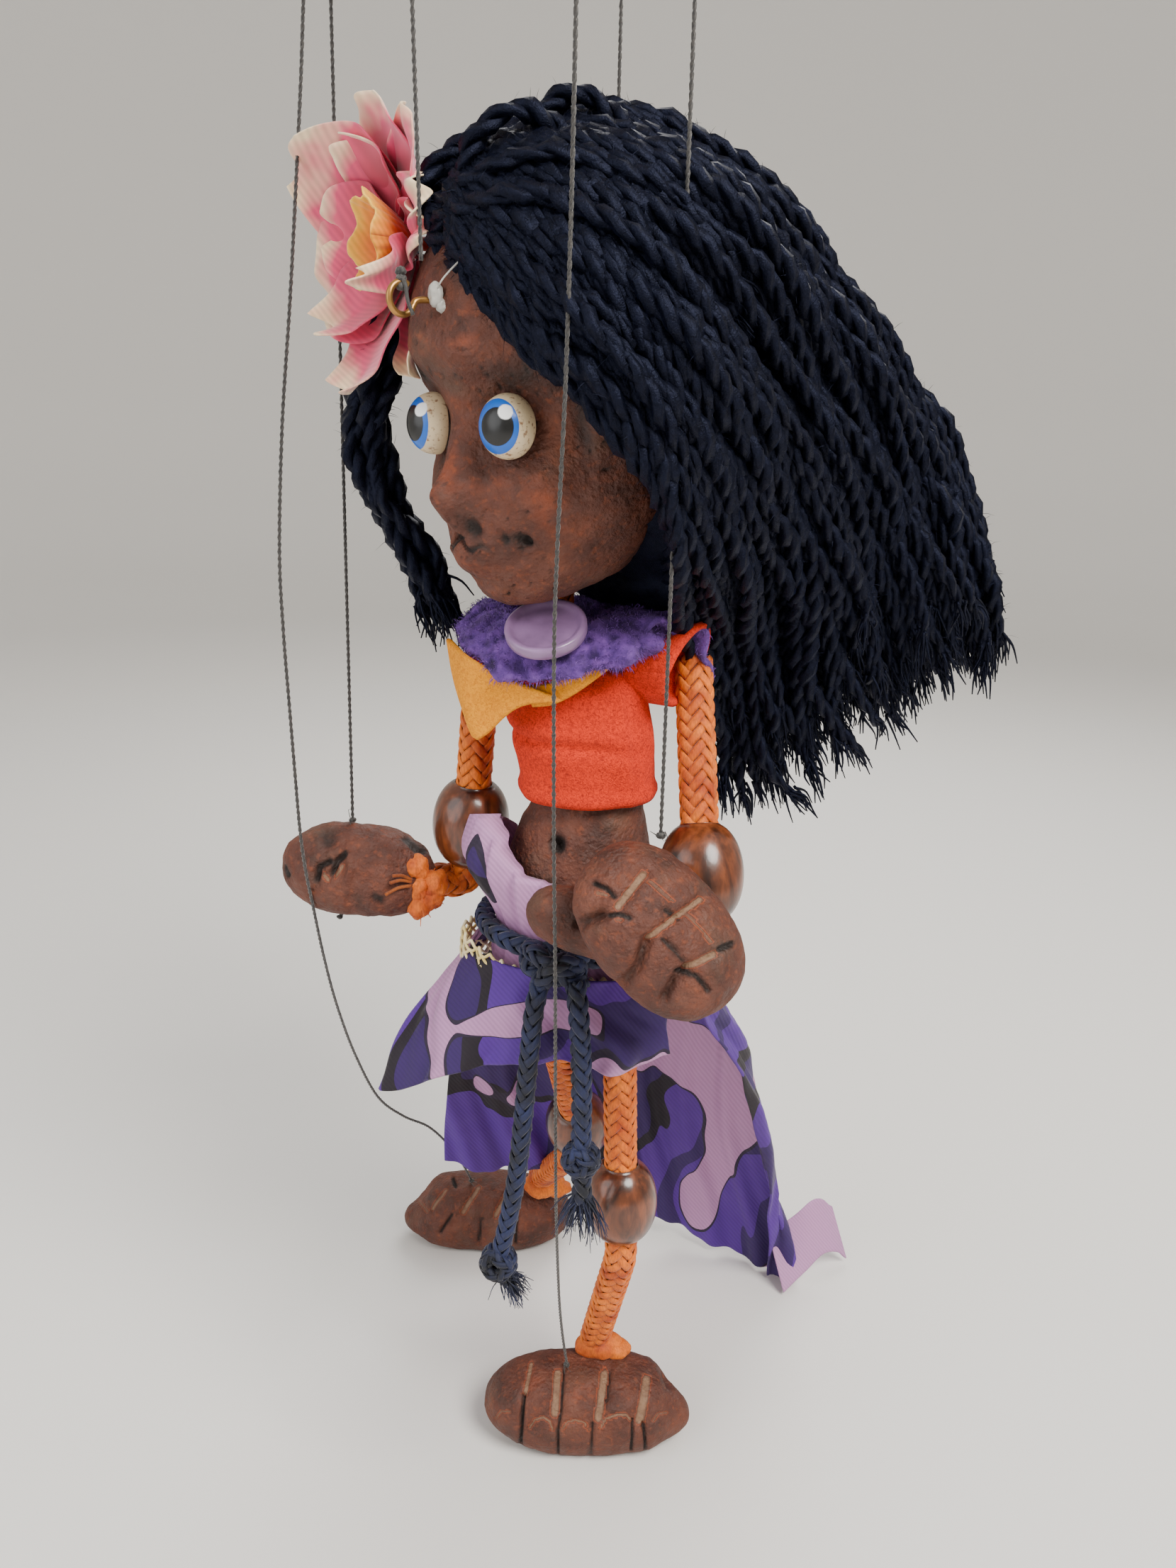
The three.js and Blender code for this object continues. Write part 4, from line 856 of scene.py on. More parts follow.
# In the tables of marks, a last number above 0 is chalk and one below 0 is painted shade in the groove.
LEFT_FOOT_MARKS = (
    ([(-19, -0.5), (-19.3, 6), (-19.8, 15)], 0.5, 1.7, -1.0), ([(-17.4, -9), (-18.6, -1)], 1.1, 0.8, 0.9),
    ([(-9.2, -7), (-9.7, 4.5)], 1.8, 1.3, 1.0),
    ([(-7.4, -7.5), (-7.9, 4), (-8.6, 9), (-8.4, 16)], 0.4, 1.5, -0.9),
    ([(4.9, -7.2), (3.2, 5.5)], 1.9, 1.3, 1.0), ([(6.5, -7.4), (5.3, 1)], 0.4, 1.4, -0.9),
    ([(1.6, 7), (1, 16)], 0.45, 1.5, -0.8), ([(17.8, -5.5), (15.6, 6)], 2.2, 1.2, 1.0),
    ([(13.4, 6), (13.2, 14)], 0.4, 1.4, -0.8), ([(16.6, 7), (17.6, 15)], 0.45, 1.4, -0.8),
    ([(-17, 8.5), (-15.5, 6.3), (-13, 5.6), (-11, 6.8), (-10.2, 8.8)], 0.7, 0.7, 0.6),
    ([(-7.4, 8.8), (-6, 6.8), (-3.5, 6.1), (-1, 6.8), (0.4, 8.8)], 0.7, 0.7, 0.6),
    ([(4, 8), (5.5, 5.6), (8.5, 4.5), (11.5, 4.5), (12.8, 6)], 0.8, 0.7, 0.65),
    ([(-27.6, 6.4), (-25.6, 4.2), (-22.8, 4.2)], 0.7, 0.5, 0.4),
    ([(19.5, 6), (21, 4), (23.6, 3.6)], 0.7, 0.5, 0.4), ([(29.6, 7.6), (28.3, 9.4)], 0.5, 0.9, -0.9),
    ([(23.4, -8.5), (25, -4)], 1.2, 1.4, -0.2),
)
RIGHT_FOOT_MARKS = (
    ([(-15, -6), (-20, 1)], 1.2, 1.0, 0.6), ([(-12, 3), (-16, 9)], 0.5, 1.2, -0.8),
    ([(-3, -7), (-8, 2)], 1.6, 1.1, 0.7), ([(8, -6), (4, 3)], 1.6, 1.1, 0.7),
    ([(-1, 4), (-2, 12)], 0.5, 1.3, -0.8), ([(-13, -10), (-11.5, -7)], 0.6, 1.4, -1.0),
    ([(-26, -2), (-22, 2)], 1.4, 0.7, 0.3), ([(12, 3), (11.4, 12)], 0.5, 1.2, -0.8),
)
LEFT_HAND_MARKS = (
    ([(-4.0, -12.2), (-9.5, -5.0)], 1.3, 1.1, 1.0), ([(8.6, -7.2), (-2.9, 1.3)], 1.05, 1.2, 1.0),
    ([(11.4, 4.6), (6, 7.2)], 1.3, 1.1, 1.0), ([(15.8, 2.2), (12.9, 3.3)], 0.7, 1.2, -1.0),
    ([(-2.9, -10.6), (2.4, -6.3)], 0.7, 0.5, 0.45), ([(5.3, -4.3), (10.6, 1.9)], 0.9, 0.5, 0.4),
    ([(0.8, -4.6), (3.6, -2.8)], 0.45, 1.2, -1.0),
    ([(-14.5, -9.9), (-12.1, -8.9), (-10.3, -7.1)], 0.55, 1.3, -0.9),
    ([(-14.1, -7.9), (-12, -7.4)], 1.0, 0.5, 0.35),
    ([(-11.2, -3), (-9.2, -3.4), (-6.9, -2.6)], 0.55, 1.1, -0.8),
    ([(-10, -2.2), (-8.8, -2.1)], 0.8, 0.5, 0.3), ([(0.1, 1.6), (2.4, 3.6), (4.4, 5.9)], 0.6, 1.1, -0.6),
    ([(3.4, 8.2), (7.7, 9.2), (10.3, 12.2)], 0.6, 1.2, -0.7),
    ([(-17.5, -1.0), (-13.0, -3.0)], 1.3, 2.4, -0.3),
    ([(-8.5, 11.5), (-5.2, 8.0), (-3.4, 2.4)], 1.2, 2.4, -0.3),
    ([(0.8, 14.5), (3.0, 10.2), (5.4, 7.6)], 1.1, 2.2, -0.3),
)
RIGHT_HAND_MARKS = (
    ([(-9, 2.9), (-8.4, -0.3), (-5.7, -1.7)], 0.8, 1.9, -1.0), ([(-7.1, 1.7), (-5.9, 3.1)], 1.0, 0.8, 0.7),
    ([(-4.7, 1.3), (-3.7, -1.9), (-1.6, -3.6)], 0.8, 1.9, -1.0),
    ([(-3.8, 1.8), (-2.3, -0.6)], 1.1, 0.8, 0.6),
    ([(-1.0, -4.2), (0.2, -0.8), (-0.9, 2.6)], 0.9, -1.1, -0.05),
    ([(-18.2, 0), (-17.5, 1.8)], 0.8, 1.1, -0.8), ([(-7.3, -8.3), (-6.3, -6.9)], 1.8, 1.0, -0.4),
    ([(6.1, 6.8), (7.2, 7.5)], 1.4, 0.9, -0.5), ([(0.4, 7.8), (1.2, 8.1)], 2.0, 0.6, -0.3),
    ([(13, -8), (17, -5)], 1.2, 1.0, -0.7),
)


def pad_grid(centre, wide, fingers, size):
    x = unit(wide)
    z = unit(np.cross(x, fingers))
    y = np.cross(z, x)
    along, across, out = ball_grid(190, 150)
    half = np.array(size) / 2
    return (np.array(centre) + by(half[0] * rounded(along, 0.85), x)
            + by(half[1] * rounded(across, 0.85), y) + by(half[2] * out, z))


def make_clay(name, body, grids, centre, marks, seed, lumps=0.5):
    shape = Shape()
    for grid in grids:
        points, tint = press_marks(grid, np.array(centre, float), marks, seed, lumps)
        shape.grid(points, (False, True), tint=tint, caps=True)
    place_shape(shape, f"moulded_{name}", CLAY, body, "clay", name)


LEFT_FOOT, RIGHT_FOOT = (0.9, 11, 0), (-62, 86.5, 0)
make_clay("left_foot", "left_foot", [foot_grid(LEFT_FOOT, 1)], (0.9, 11, 12), LEFT_FOOT_MARKS, 1.0)
make_clay("right_foot", "right_foot", [foot_grid(RIGHT_FOOT, -1)], (-62, 86.5, 12), RIGHT_FOOT_MARKS, 5.0)
LEFT_HAND, RIGHT_HAND = (28.5, -37.5, 190.8), (-59.8, -7.8, 182.4)
left_pad = pad_grid(LEFT_HAND, (0.68, 0.15, -0.72), (-0.38, -0.66, -0.65), (44, 29.5, 20))
thumb = pad_grid((10.5, -34.5, 189), (0.95, 0.1, -0.2), (0, -1, 0), (27, 12, 15.5))
make_clay("left_hand", "left_hand", [left_pad, thumb], LEFT_HAND, LEFT_HAND_MARKS, 2.0)
right_pad = pad_grid(RIGHT_HAND, (-0.96, -0.27, 0.1), (0.1, -0.2, -0.97), (39.5, 24.5, 23))
make_clay("right_hand", "right_hand", [right_pad], RIGHT_HAND, RIGHT_HAND_MARKS, 3.0, 0.8)

# Rings of the body: height, middle across and forth, half width and half depth.
TORSO_RINGS = [
    (138.5, -0.5, 4, 6, 5), (140.5, -0.5, 3.4, 11.5, 10), (143, -0.5, 3, 14.5, 12.5),
    (152, -0.6, 2, 18.5, 17.5), (165, -0.8, 1, 20, 19.5), (178, -1.2, 0.5, 19.8, 19),
    (190, -1.6, 0, 18.6, 17.5), (200, -1, -0.2, 16, 15), (208, -0.2, 0, 13.8, 12.5),
    (225, -2, -0.5, 14.6, 13), (236, -4, -1.4, 15, 11.5), (241, -5.4, -2.2, 12, 9.5),
    (244, -6.4, -2.8, 6, 5.5),
]
TORSO = np.array(TORSO_RINGS)


def round_torso(height, turn, grow):
    """Places round the body, the given distance out from it. Turn 0 is the puppet's left, 90 the back."""
    _, x, y, wide, deep = (np.interp(height, TORSO[:, 0], TORSO[:, k]) for k in range(5))
    across, forth = x + (wide + grow) * np.cos(turn), y + (deep + grow) * np.sin(turn)
    return np.stack(np.broadcast_arrays(across, forth, height), axis=-1)


def make_torso():
    rings = spline(TORSO_RINGS, 170)
    turn = full_turn(170)
    across = rings[:, 1:2] + rings[:, 3:4] * np.cos(turn)
    forth = rings[:, 2:3] + rings[:, 4:5] * np.sin(turn)
    grid = np.stack((across, forth, np.repeat(rings[:, :1], 170, axis=1)), axis=2)
    centre = np.array((-1.0, 0.0, 190.0))
    down = np.cross(unit(centre - EYE_PLACE), ACROSS)
    navel = np.array((-3.0, -15.2, 199.5)) - centre
    spot = (navel @ ACROSS, navel @ down)
    # The navel is sunk and painted dark: painted shade in its hollow.
    marks = (([spot, (spot[0] + 0.1, spot[1] + 0.6)], 1.5, 4.0, -2.0),)
    make_clay("torso", "root", [grid], centre, marks, 7.0, 0.4)


make_torso()


# ---- clothes -------------------------------------------------------------------------------------
def surface_through(curves, rows, columns):
    """A grid of places on the smooth surface through curves of places."""
    lines = np.array([spline(curve, columns) for curve in curves])
    return np.stack([spline(lines[:, j], rows) for j in range(columns)], axis=1)


def open_normals(grid):
    normal = np.cross(np.gradient(grid, axis=0), np.gradient(grid, axis=1))
    return normal / (np.linalg.norm(normal, axis=2, keepdims=True) + 1e-9)


def raised(grid, amount):
    """A piece of cloth moved out along its own normals by an amount for each place."""
    return grid + open_normals(grid) * amount[..., None]


def thick_sheet(shape, grid, thickness, tint=0.5):
    """Both faces of a piece of cloth and its rounded edges."""
    half = thickness / 2
    lift = open_normals(grid) * half
    rows, columns = grid.shape[:2]
    edge = ([(0, j) for j in range(columns)] + [(i, columns - 1) for i in range(1, rows)]
            + [(rows - 1, j) for j in range(columns - 2, -1, -1)] + [(i, 0) for i in range(rows - 2, 0, -1)])
    tint = np.broadcast_to(tint, (rows, columns))
    count = rows * columns
    points = np.concatenate(((grid + lift).reshape(-1, 3), (grid - lift).reshape(-1, 3)))
    top = [(i * columns + j, i * columns + j + 1, (i + 1) * columns + j + 1, (i + 1) * columns + j)
           for i in range(rows - 1) for j in range(columns - 1)]
    under = [tuple(count + k for k in reversed(face)) for face in top]
    border = []
    for i, j in edge:
        inward = grid[min(max(i, 1), rows - 2), min(max(j, 1), columns - 2)] - grid[i, j]
        border.append(grid[i, j] - unit(inward + 1e-9) * half * 0.8)
    rim = []
    for k in range(len(edge)):
        (i0, j0), (i1, j1) = edge[k], edge[(k + 1) % len(edge)]
        a, b, c, d = i0 * columns + j0, i1 * columns + j1, 2 * count + k, 2 * count + (k + 1) % len(edge)
        rim += [(b, a, c, d), (count + a, count + b, d, c)]
    tints = np.concatenate((tint.ravel(), tint.ravel(), [tint[i, j] for i, j in edge]))
    shape.add(np.concatenate((points, border)), top + under + rim, tints)


def make_band(name, node, material, slot, low, high, inner, outer, relief, count=150, rise=None, tint=0.5):
    """A tube of cloth round the body. relief gives how far it stands out for each height and turn, and
    rise how much higher its top edge is for each turn."""
    heights = np.concatenate((np.linspace(low, high, 34), np.linspace(high, low, 34)))
    side = np.concatenate((np.full(34, outer), np.full(34, inner)))
    turn = full_turn(count)
    z, a = heights[:, None] + 0 * turn, turn + 0 * heights[:, None]
    if rise:
        z = z + rise(a) * cross_fade(z, (low + high) / 2, high)
    grow = np.where(side[:, None] == outer, outer + relief(z, a), inner + 0.6 * relief(z, a))
    shape = Shape()
    shape.grid(round_torso(z, a, grow), (True, True), tint=tint)
    return place_shape(shape, name, material, "root", slot, node)


def felt_relief(z, turn):
    seen_from = turn + math.pi / 2 + 0.3  # 0 where the felt faces the camera
    seen_from = (seen_from + math.pi) % (2 * math.pi) - math.pi
    front = bell(seen_from, 1.3)
    fold = z - 224.5 + 2.2 * seen_from**2 * np.sign(seen_from) * 0.6
    out = front * (1.0 * bell(fold - 2.6, 2.2) - 1.1 * bell(fold + 0.6, 0.9) + 0.5 * bell(fold + 4, 2.0))
    out += 0.9 * bell(z - 210, 1.6) + 0.35 * np.sin(3 * turn + 1) + 0.25 * np.sin(7 * turn + z * 0.2)
    return out + 0.5 * bell(seen_from - 1.25, 0.08)


top_piece = make_band("felt_body", "felt_top", RED, "red_felt", 208.6, 241, 0.7, 2.7, felt_relief)


def make_sleeve(name, place, mouth, outward, radius):
    """A short flared felt sleeve over the top of an arm."""
    axis = unit(outward)
    upward = unit(UP - axis * axis[2])
    level_side = np.cross(axis, upward)
    count = 60
    turn = 2 * math.pi * np.arange(count + 1) / count
    rows = []
    for share in np.linspace(0, 1, 12):
        middle = np.array(place) * (1 - share) + np.array(mouth) * share
        size = radius * (0.82 + 0.2 * share + 0.05 * np.sin(3 * turn + 2 * share))
        rows.append(middle + upward * (np.sin(turn) * size * 1.05)[:, None]
                    + level_side * (np.cos(turn) * size * 0.9)[:, None])
    shape = Shape()
    thick_sheet(shape, np.array(rows), 1.7)
    piece = place_shape(shape, name, RED, "root", "red_felt")


make_sleeve("left_sleeve", (12, 0.5, 241.5), (23.5, -0.5, 242), (0.92, -0.24, -0.3), 9.4)
make_sleeve("right_sleeve", (-17, 0, 240), (-28, -1.5, 239.5), (-0.93, -0.2, -0.3), 8.2)

SCARF = [
    [(-30.5, -14.5, 246.5), (-21, -22.5, 243.5), (-9, -23.6, 239.5), (0, -22.6, 236.5)],
    [(-27.4, -17.4, 237.5), (-21.8, -21.4, 236), (-16.5, -22.8, 235.2), (-10.4, -23, 234)],
    [(-22, -20.9, 226.4), (-20.9, -21.6, 225.7), (-20, -21.9, 225.6), (-19, -22.1, 226)],
]
SCARF_EDGE = [(-7, -21.2, 234.4), (-2.7, -20.8, 235.2), (1.4, -19.8, 237.3), (5.3, -18.6, 240.2),
              (9, -16.8, 243.4)]


def make_scarf():
    shape = Shape()
    grid = surface_through(SCARF, 40, 40)
    bend = 0.9 * np.sin(np.linspace(0, 3.2, 40))[:, None] * np.sin(np.linspace(0, 6, 40))[None, :]
    thick_sheet(shape, raised(grid, bend), 1.5)
    line = spline(SCARF_EDGE, 40)
    strip = np.stack((line, line + np.array((-0.8, -0.3, 4.2))), axis=1)
    strip = surface_through(list(strip.transpose(1, 0, 2)), 6, 40)
    thick_sheet(shape, strip, 1.2)
    piece = place_shape(shape, "felt_scarf", YELLOW, "root", "yellow_felt", "yellow_scarf")


make_scarf()

rng = np.random.default_rng(7)


def chenille_finish():
    made = Finish("purple_chenille", 0.9)
    purples = (0.3, paint("#2d1648")), (0.5, paint("#4c2a78")), (0.72, paint("#75489f"))
    colour = made.ramp(made.noise(3.2, 3), *purples)
    # Lighter where the tint is high: the random tone of the fibre tips, and a painted highlight on the crests
    # of the roll.
    tips_and_painted_highlight = made.mix(made.ramp(made.tint(), (0.2, 0.0), (1.0, 0.75)), colour, paint("#8a5fb4"))
    # Painted shade: darker where the tint is low, in the hollows of the roll.
    deep = made.ramp(made.tint(), (0.0, 0.35), (0.35, 1.0))
    made.dress(Base_Color=made.multiply(tips_and_painted_highlight, deep), Sheen_Weight=0.15, Sheen_Tint=paint("#c9a8e6"))
    return made.bump(made.noise(0.7, 4), 0.35)


CHENILLE = chenille_finish()


def fuzz(shape, points, normals, length, width, tint, droop=0.3, spread=0.7):
    """Short fibres that stand up from a surface, each a thin blade with a bend in it."""
    count = len(points)
    way = units(normals + rng.normal(size=(count, 3)) * spread)
    reach = length * rng.uniform(0.5, 1.3, count)[:, None]
    broad = units(np.cross(way, rng.normal(size=(count, 3)))) * width
    middle = points + way * reach * 0.55
    tip = points + way * reach - UP * droop * reach
    rows = np.stack((points - broad / 2, points + broad / 2, middle + broad * 0.4, middle - broad * 0.4, tip),
                    axis=1).reshape(-1, 3)
    faces = []
    for k in range(0, count * 5, 5):
        faces += [(k, k + 1, k + 2, k + 3), (k + 3, k + 2, k + 4)]
    shape.add(rows, faces, tint)


def make_collar():
    """A soft roll of chenille round the neck, longest in front, and a frill over the left shoulder."""
    count, around = 220, 60
    a, b = full_turn(count), full_turn(around)
    outward = np.stack((np.cos(a), np.sin(a), 0 * a), axis=1)
    front = np.maximum(0, -np.sin(a))
    low = bell((a + 1.72 + math.pi) % (2 * math.pi) - math.pi, 0.55)
    middle = np.stack((-5.5 + 17.5 * np.cos(a), -3.5 + 14 * np.sin(a), 250.2 - 1.6 * front), axis=1)
    wide = 7.2 + 2 * front
    drop = front * 3.4 + 3.6 * low
    grid = (middle[:, None] + outward[:, None] * (wide[:, None] * np.cos(b))[..., None]
            + UP * (4.3 * np.sin(b)[None, :] - drop[:, None] * np.maximum(0, np.cos(b))[None, :])[..., None])
    normal = grid_normals(grid)
    bumps = 0.9 * fractal(grid, 4.5, 3, 2.2) + 0.5 * fractal(grid, 1.6, 2, 6.1)
    pleats = 0.7 * np.sin(13 * a + 2 * np.sin(2 * a))[:, None] * np.maximum(0, np.cos(b))[None, :]
    grid = grid + normal * (bumps + pleats)[..., None]
    shape = Shape()
    # The tint follows the bumps: painted shade in the hollows and a painted highlight on the crests.
    shape.grid(grid, (True, True), tint=np.clip(0.35 + 0.4 * bumps, 0, 1))
    frill = frill_grid()
    thick_sheet(shape, frill, 1.5, tint=0.4)
    for surface, facing in ((grid, normal), (frill, open_normals(frill)), (frill, -open_normals(frill))):
        spots, ways = surface.reshape(-1, 3), facing.reshape(-1, 3)
        chosen = rng.integers(0, len(spots), 15000 if surface is grid else 2600)
        jitter = rng.normal(size=(len(chosen), 3)) * 0.3
        fuzz(shape, spots[chosen] + jitter, ways[chosen], 1.25, 0.16,
             tint=np.repeat(rng.uniform(0.3, 1.0, len(chosen)), 5))
    piece = shape.build("chenille_collar", CHENILLE)
    place_piece(piece, "root", "chenille", "purple_collar")


FRILL_ROOT = [(9, -13, 250.5), (14, -7, 253.5), (18, 0, 254), (19, 6, 251), (18, 9, 246)]
FRILL_RIM = [(12, -14.5, 247.5), (18, -9.5, 252), (25, -1, 250.5), (27.8, 5.5, 244), (27.2, 7.5, 237.5)]


def frill_grid():
    inner, outer = spline(FRILL_ROOT, 90)[:, None], spline(FRILL_RIM, 90)[:, None]
    share = np.linspace(0, 1, 14)[None, :, None]
    grid = inner * (1 - share) + outer * share
    wave = 2.0 * np.sin(np.linspace(0, 5.5 * math.pi, 90))[:, None] * np.linspace(0.1, 1, 14)[None, :]
    return raised(grid, wave)


make_collar()


BUTTON_PLASTIC = plain_finish("button_plastic", "#93719c", 0.32, Coat_Weight=0.3)


def make_button():
    """A dish button with a thick rounded rim, lying on the collar."""
    normal = unit((0.03, -0.5, 0.86))
    centre = np.array((-3.6, -22, 251.2))
    profile = [(0.02, 0), (8.2, 0), (8.9, 0.25), (9.2, 0.8), (9.25, 2.2), (9.1, 2.7), (8.7, 2.97),
               (8.2, 2.95), (7.7, 2.6), (7.2, 2.0), (6.6, 1.75), (5, 1.7), (0.02, 1.7)]
    shape = Shape()
    shape.grid(turned(spline(profile, 60), centre, normal, 72), (False, True), 0.5, caps=True)
    place_shape(shape, "dish_button", BUTTON_PLASTIC, "root", "button_plastic", "collar_button")


make_button()


# ---- skirt ---------------------------------------------------------------------------------------
RUFFLE = [
    [(-27, 8, 167), (-36, 5, 152), (-46, 1, 137), (-52, -3, 124)],
    [(-27, -10, 168), (-35, -15, 154), (-42, -19, 141), (-46, -21, 127)],
    [(-17, -21, 169), (-21, -24.5, 158), (-24, -27, 150), (-26, -28.5, 140)],
    [(-2, -24.6, 169.5), (-3.5, -26, 162), (-4.5, -27, 154), (-5.5, -27.6, 147)],
    [(12, -23, 169), (14, -24.6, 162), (15.5, -25.5, 154), (17, -25.5, 148)],
    [(22, -14, 168), (25, -16, 161), (27, -17.5, 155), (28, -18, 150)],
]
TRAIN = [
    [(26.5, -4, 167), (30, 16, 143), (35, 40, 113), (39, 58, 86), (41.5, 78, 52), (44, 90, 18),
     (45, 94, 1.4)],
    [(24, 14, 167), (31, 36, 138), (39, 60, 98), (44, 80, 58), (48, 94, 24), (49, 100, 1.6)],
    [(12, 24, 167), (18, 47, 138), (26, 72, 98), (31, 90, 56), (33, 100, 24), (32, 104, 1.4)],
    [(-3, 26.5, 167), (-2, 51, 138), (0, 77, 97), (0, 92, 58), (0, 100, 30), (0, 103, 12)],
    [(-10, 25, 167), (-14, 47, 138), (-18, 68, 100), (-22, 80, 66), (-24, 83, 52), (-26, 84, 42)],
    [(-17, 22, 167), (-27, 40, 138), (-36, 56, 104), (-43, 66, 72), (-46, 69, 54), (-49, 71, 41)],
    [(-26.5, 10.5, 166), (-40, 22, 140), (-51, 36, 114), (-60, 48, 88), (-65, 56, 63), (-67, 60, 48)],
]


def shares(rows, columns):
    """How far along and how far down a piece of cloth each place of its grid lies, from 0 to 1."""
    return np.linspace(0, 1, rows)[:, None], np.linspace(0, 1, columns)[None, :]


def lilac_spots(rows, columns, spots, ground=0.44):
    """Where the print is lilac on a piece of cloth: spots of place along, place down, and size."""
    u, v = shares(rows, columns)
    tint = np.full((rows, columns), ground)
    for along, down, size in spots:
        tint = tint + 0.3 * np.exp(-(((u - along) / size) ** 2) - ((v - down) / (size * 1.6)) ** 2)
    return tint


def folded(curves, rows, columns, folds, deep, seed):
    """Cloth that hangs in folds, which grow deeper towards its free edge."""
    grid = surface_through(curves, rows, columns)
    u, v = shares(rows, columns)
    wander = 0.06 * np.sin(5 * v + seed)
    phase = 2 * math.pi * folds * (u + wander)
    wave = np.sin(phase) + 0.35 * np.sin(2.3 * phase + seed)
    depth = deep * (0.25 + 0.75 * v**0.8) * (0.7 + 0.3 * np.sin(9 * u + seed))
    small = 0.5 * fractal(grid, 14, 2, seed)
    return raised(grid, wave * depth + small)


def make_ruffle():
    grid = folded(RUFFLE, 170, 60, 4.6, 2.4, 0.6)
    shape = Shape()
    spots = ((0.2, 0.2, 0.1), (0.55, 0.55, 0.12), (0.7, 0.4, 0.1), (0.06, 0.9, 0.05))
    thick_sheet(shape, grid, 0.8, tint=lilac_spots(170, 60, spots))
    piece = place_shape(shape, "print_ruffle", PRINT, "root", "skirt_print", "skirt_front_ruffle")


def make_train():
    grid = folded(TRAIN, 170, 150, 7.5, 3.0, 2.1)
    low = grid[..., 2] < 1.0
    grid[..., 2] = np.where(low, 1.0 + 0.2 * np.abs(grid[..., 2] - 1.0) ** 0.5, grid[..., 2])
    shape = Shape()
    spots = ((0.05, 0.62, 0.05), (0.17, 0.55, 0.05), (0.28, 0.9, 0.08), (0.02, 0.15, 0.03), (0.5, 0.5, 0.08),
             (0.74, 0.4, 0.07), (0.93, 0.7, 0.05))
    thick_sheet(shape, grid, 0.8, tint=lilac_spots(170, 150, spots, 0.36))
    piece = place_shape(shape, "print_train", PRINT, "root", "skirt_print", "skirt_train")
    strip = spline([(46, 92, 1.6), (52, 101, 5), (57, 108, 8.5), (62, 113, 7), (65, 117, 2)], 60)
    wide = np.linspace(-0.5, 0.5, 24)[:, None, None] * 19 * unit((-0.35, 0.25, 0.9))
    grid = strip[None] + wide + np.array((0, 0, 8.5))
    wave = 1.1 * np.sin(np.linspace(0, 9, 60))[None, :] * np.linspace(0.2, 1, 24)[:, None]
    grid = raised(grid, wave)
    grid[..., 2] = np.maximum(grid[..., 2], 0.9)
    tail = Shape()
    thick_sheet(tail, grid, 0.8, tint=0.95)
    end = place_shape(tail, "print_tail", PRINT, "root", "skirt_print")


def sash_relief(z, turn):
    share = np.clip((z - 174.5) / 10, -1, 1)
    pleats = 0.75 * np.sin(19 * turn + 1.2 * np.sin(3 * turn)) + 0.35 * np.sin(41 * turn)
    flare = 9.5 * side_panel(turn) * cross_fade(z, 176, 196)
    return (pleats + 0.6) * (0.35 + 0.65 * np.abs(share)) - 0.5 * bell(z - 174.5, 3) + flare


def side_panel(turn):
    """1 at the middle of the gathered panel on the puppet's right, which stands up and away from it."""
    away = (turn - 3.55 + math.pi) % (2 * math.pi) - math.pi
    return bell(away, 0.75)


def sash_rise(turn):
    return 15 * side_panel(turn) + 1.2 * np.sin(7 * turn)


make_ruffle()
make_train()
sash = make_band("print_sash", "waist_sash", PRINT, "skirt_print", 150, 188, 0.6, 2.2, sash_relief, 260,
                 sash_rise, 0.84)


def make_lace():
    """Rows of small crossing loops of cream thread, with scallops along the lower edge."""
    loops, top = 24, 168
    made = Finish("cream_lace", 0.85)
    made.set("Base Color", made.ramp(made.noise(6, 2), (0.3, paint("#e0c77a")), (0.65, paint("#efe6c8"))))
    finish = made.bump(made.noise(0.4, 2), 0.1)
    shape = Shape()
    for row in range(9):
        height, phase, deep = top - 1.25 * row, row % 2, 1.5 + 0.06 * row
        turn = np.linspace(0, 2 * math.pi, 1500)
        z = height - deep * np.abs(np.sin(loops * turn + phase * math.pi / 2))
        grow = 3.4 + (top - z) * 0.1 + 0.5 * np.sin(loops * turn) + 7 * side_panel(turn)
        z = z + 4 * side_panel(turn)
        shape.tube(round_torso(z, turn, grow)[:-1], 0.42, 5)
    place_shape(shape, "lace_edge", finish, "root", "lace", "petticoat_lace")


make_lace()


# ---- belt ----------------------------------------------------------------------------------------
def ragged(shape, start, way, count, length, width, spread=0.5, tint=0.6):
    """Loose yarn ends that spread from the end of a cord."""
    for _ in range(count):
        lean = unit(unit(way) + rng.normal(size=3) * spread)
        reach = length * rng.uniform(0.6, 1.15)
        root = start + rng.normal(size=3) * 0.8
        path = spline([root, root + lean * reach * 0.5 + rng.normal(size=3) * 0.5,
                       root + lean * reach * 0.85 - UP * reach * 0.15], 8)
        shape.tube(path, np.linspace(width, width * 0.35, 8) / 2, 4, tint)


def tied_lump(shape, centre, half, width):
    """A knot: strands wound over each other round a small core."""
    turn = np.linspace(0, 6 * math.pi, 180)
    core = units(np.stack((np.sin(turn), np.cos(turn * 1.37) * 0.9, np.cos(turn) * 0.9), axis=1))
    braid(shape, np.array(centre) + core * (np.array(half) - width * 0.4), width, 4)


BELT_HEIGHT = 174.5


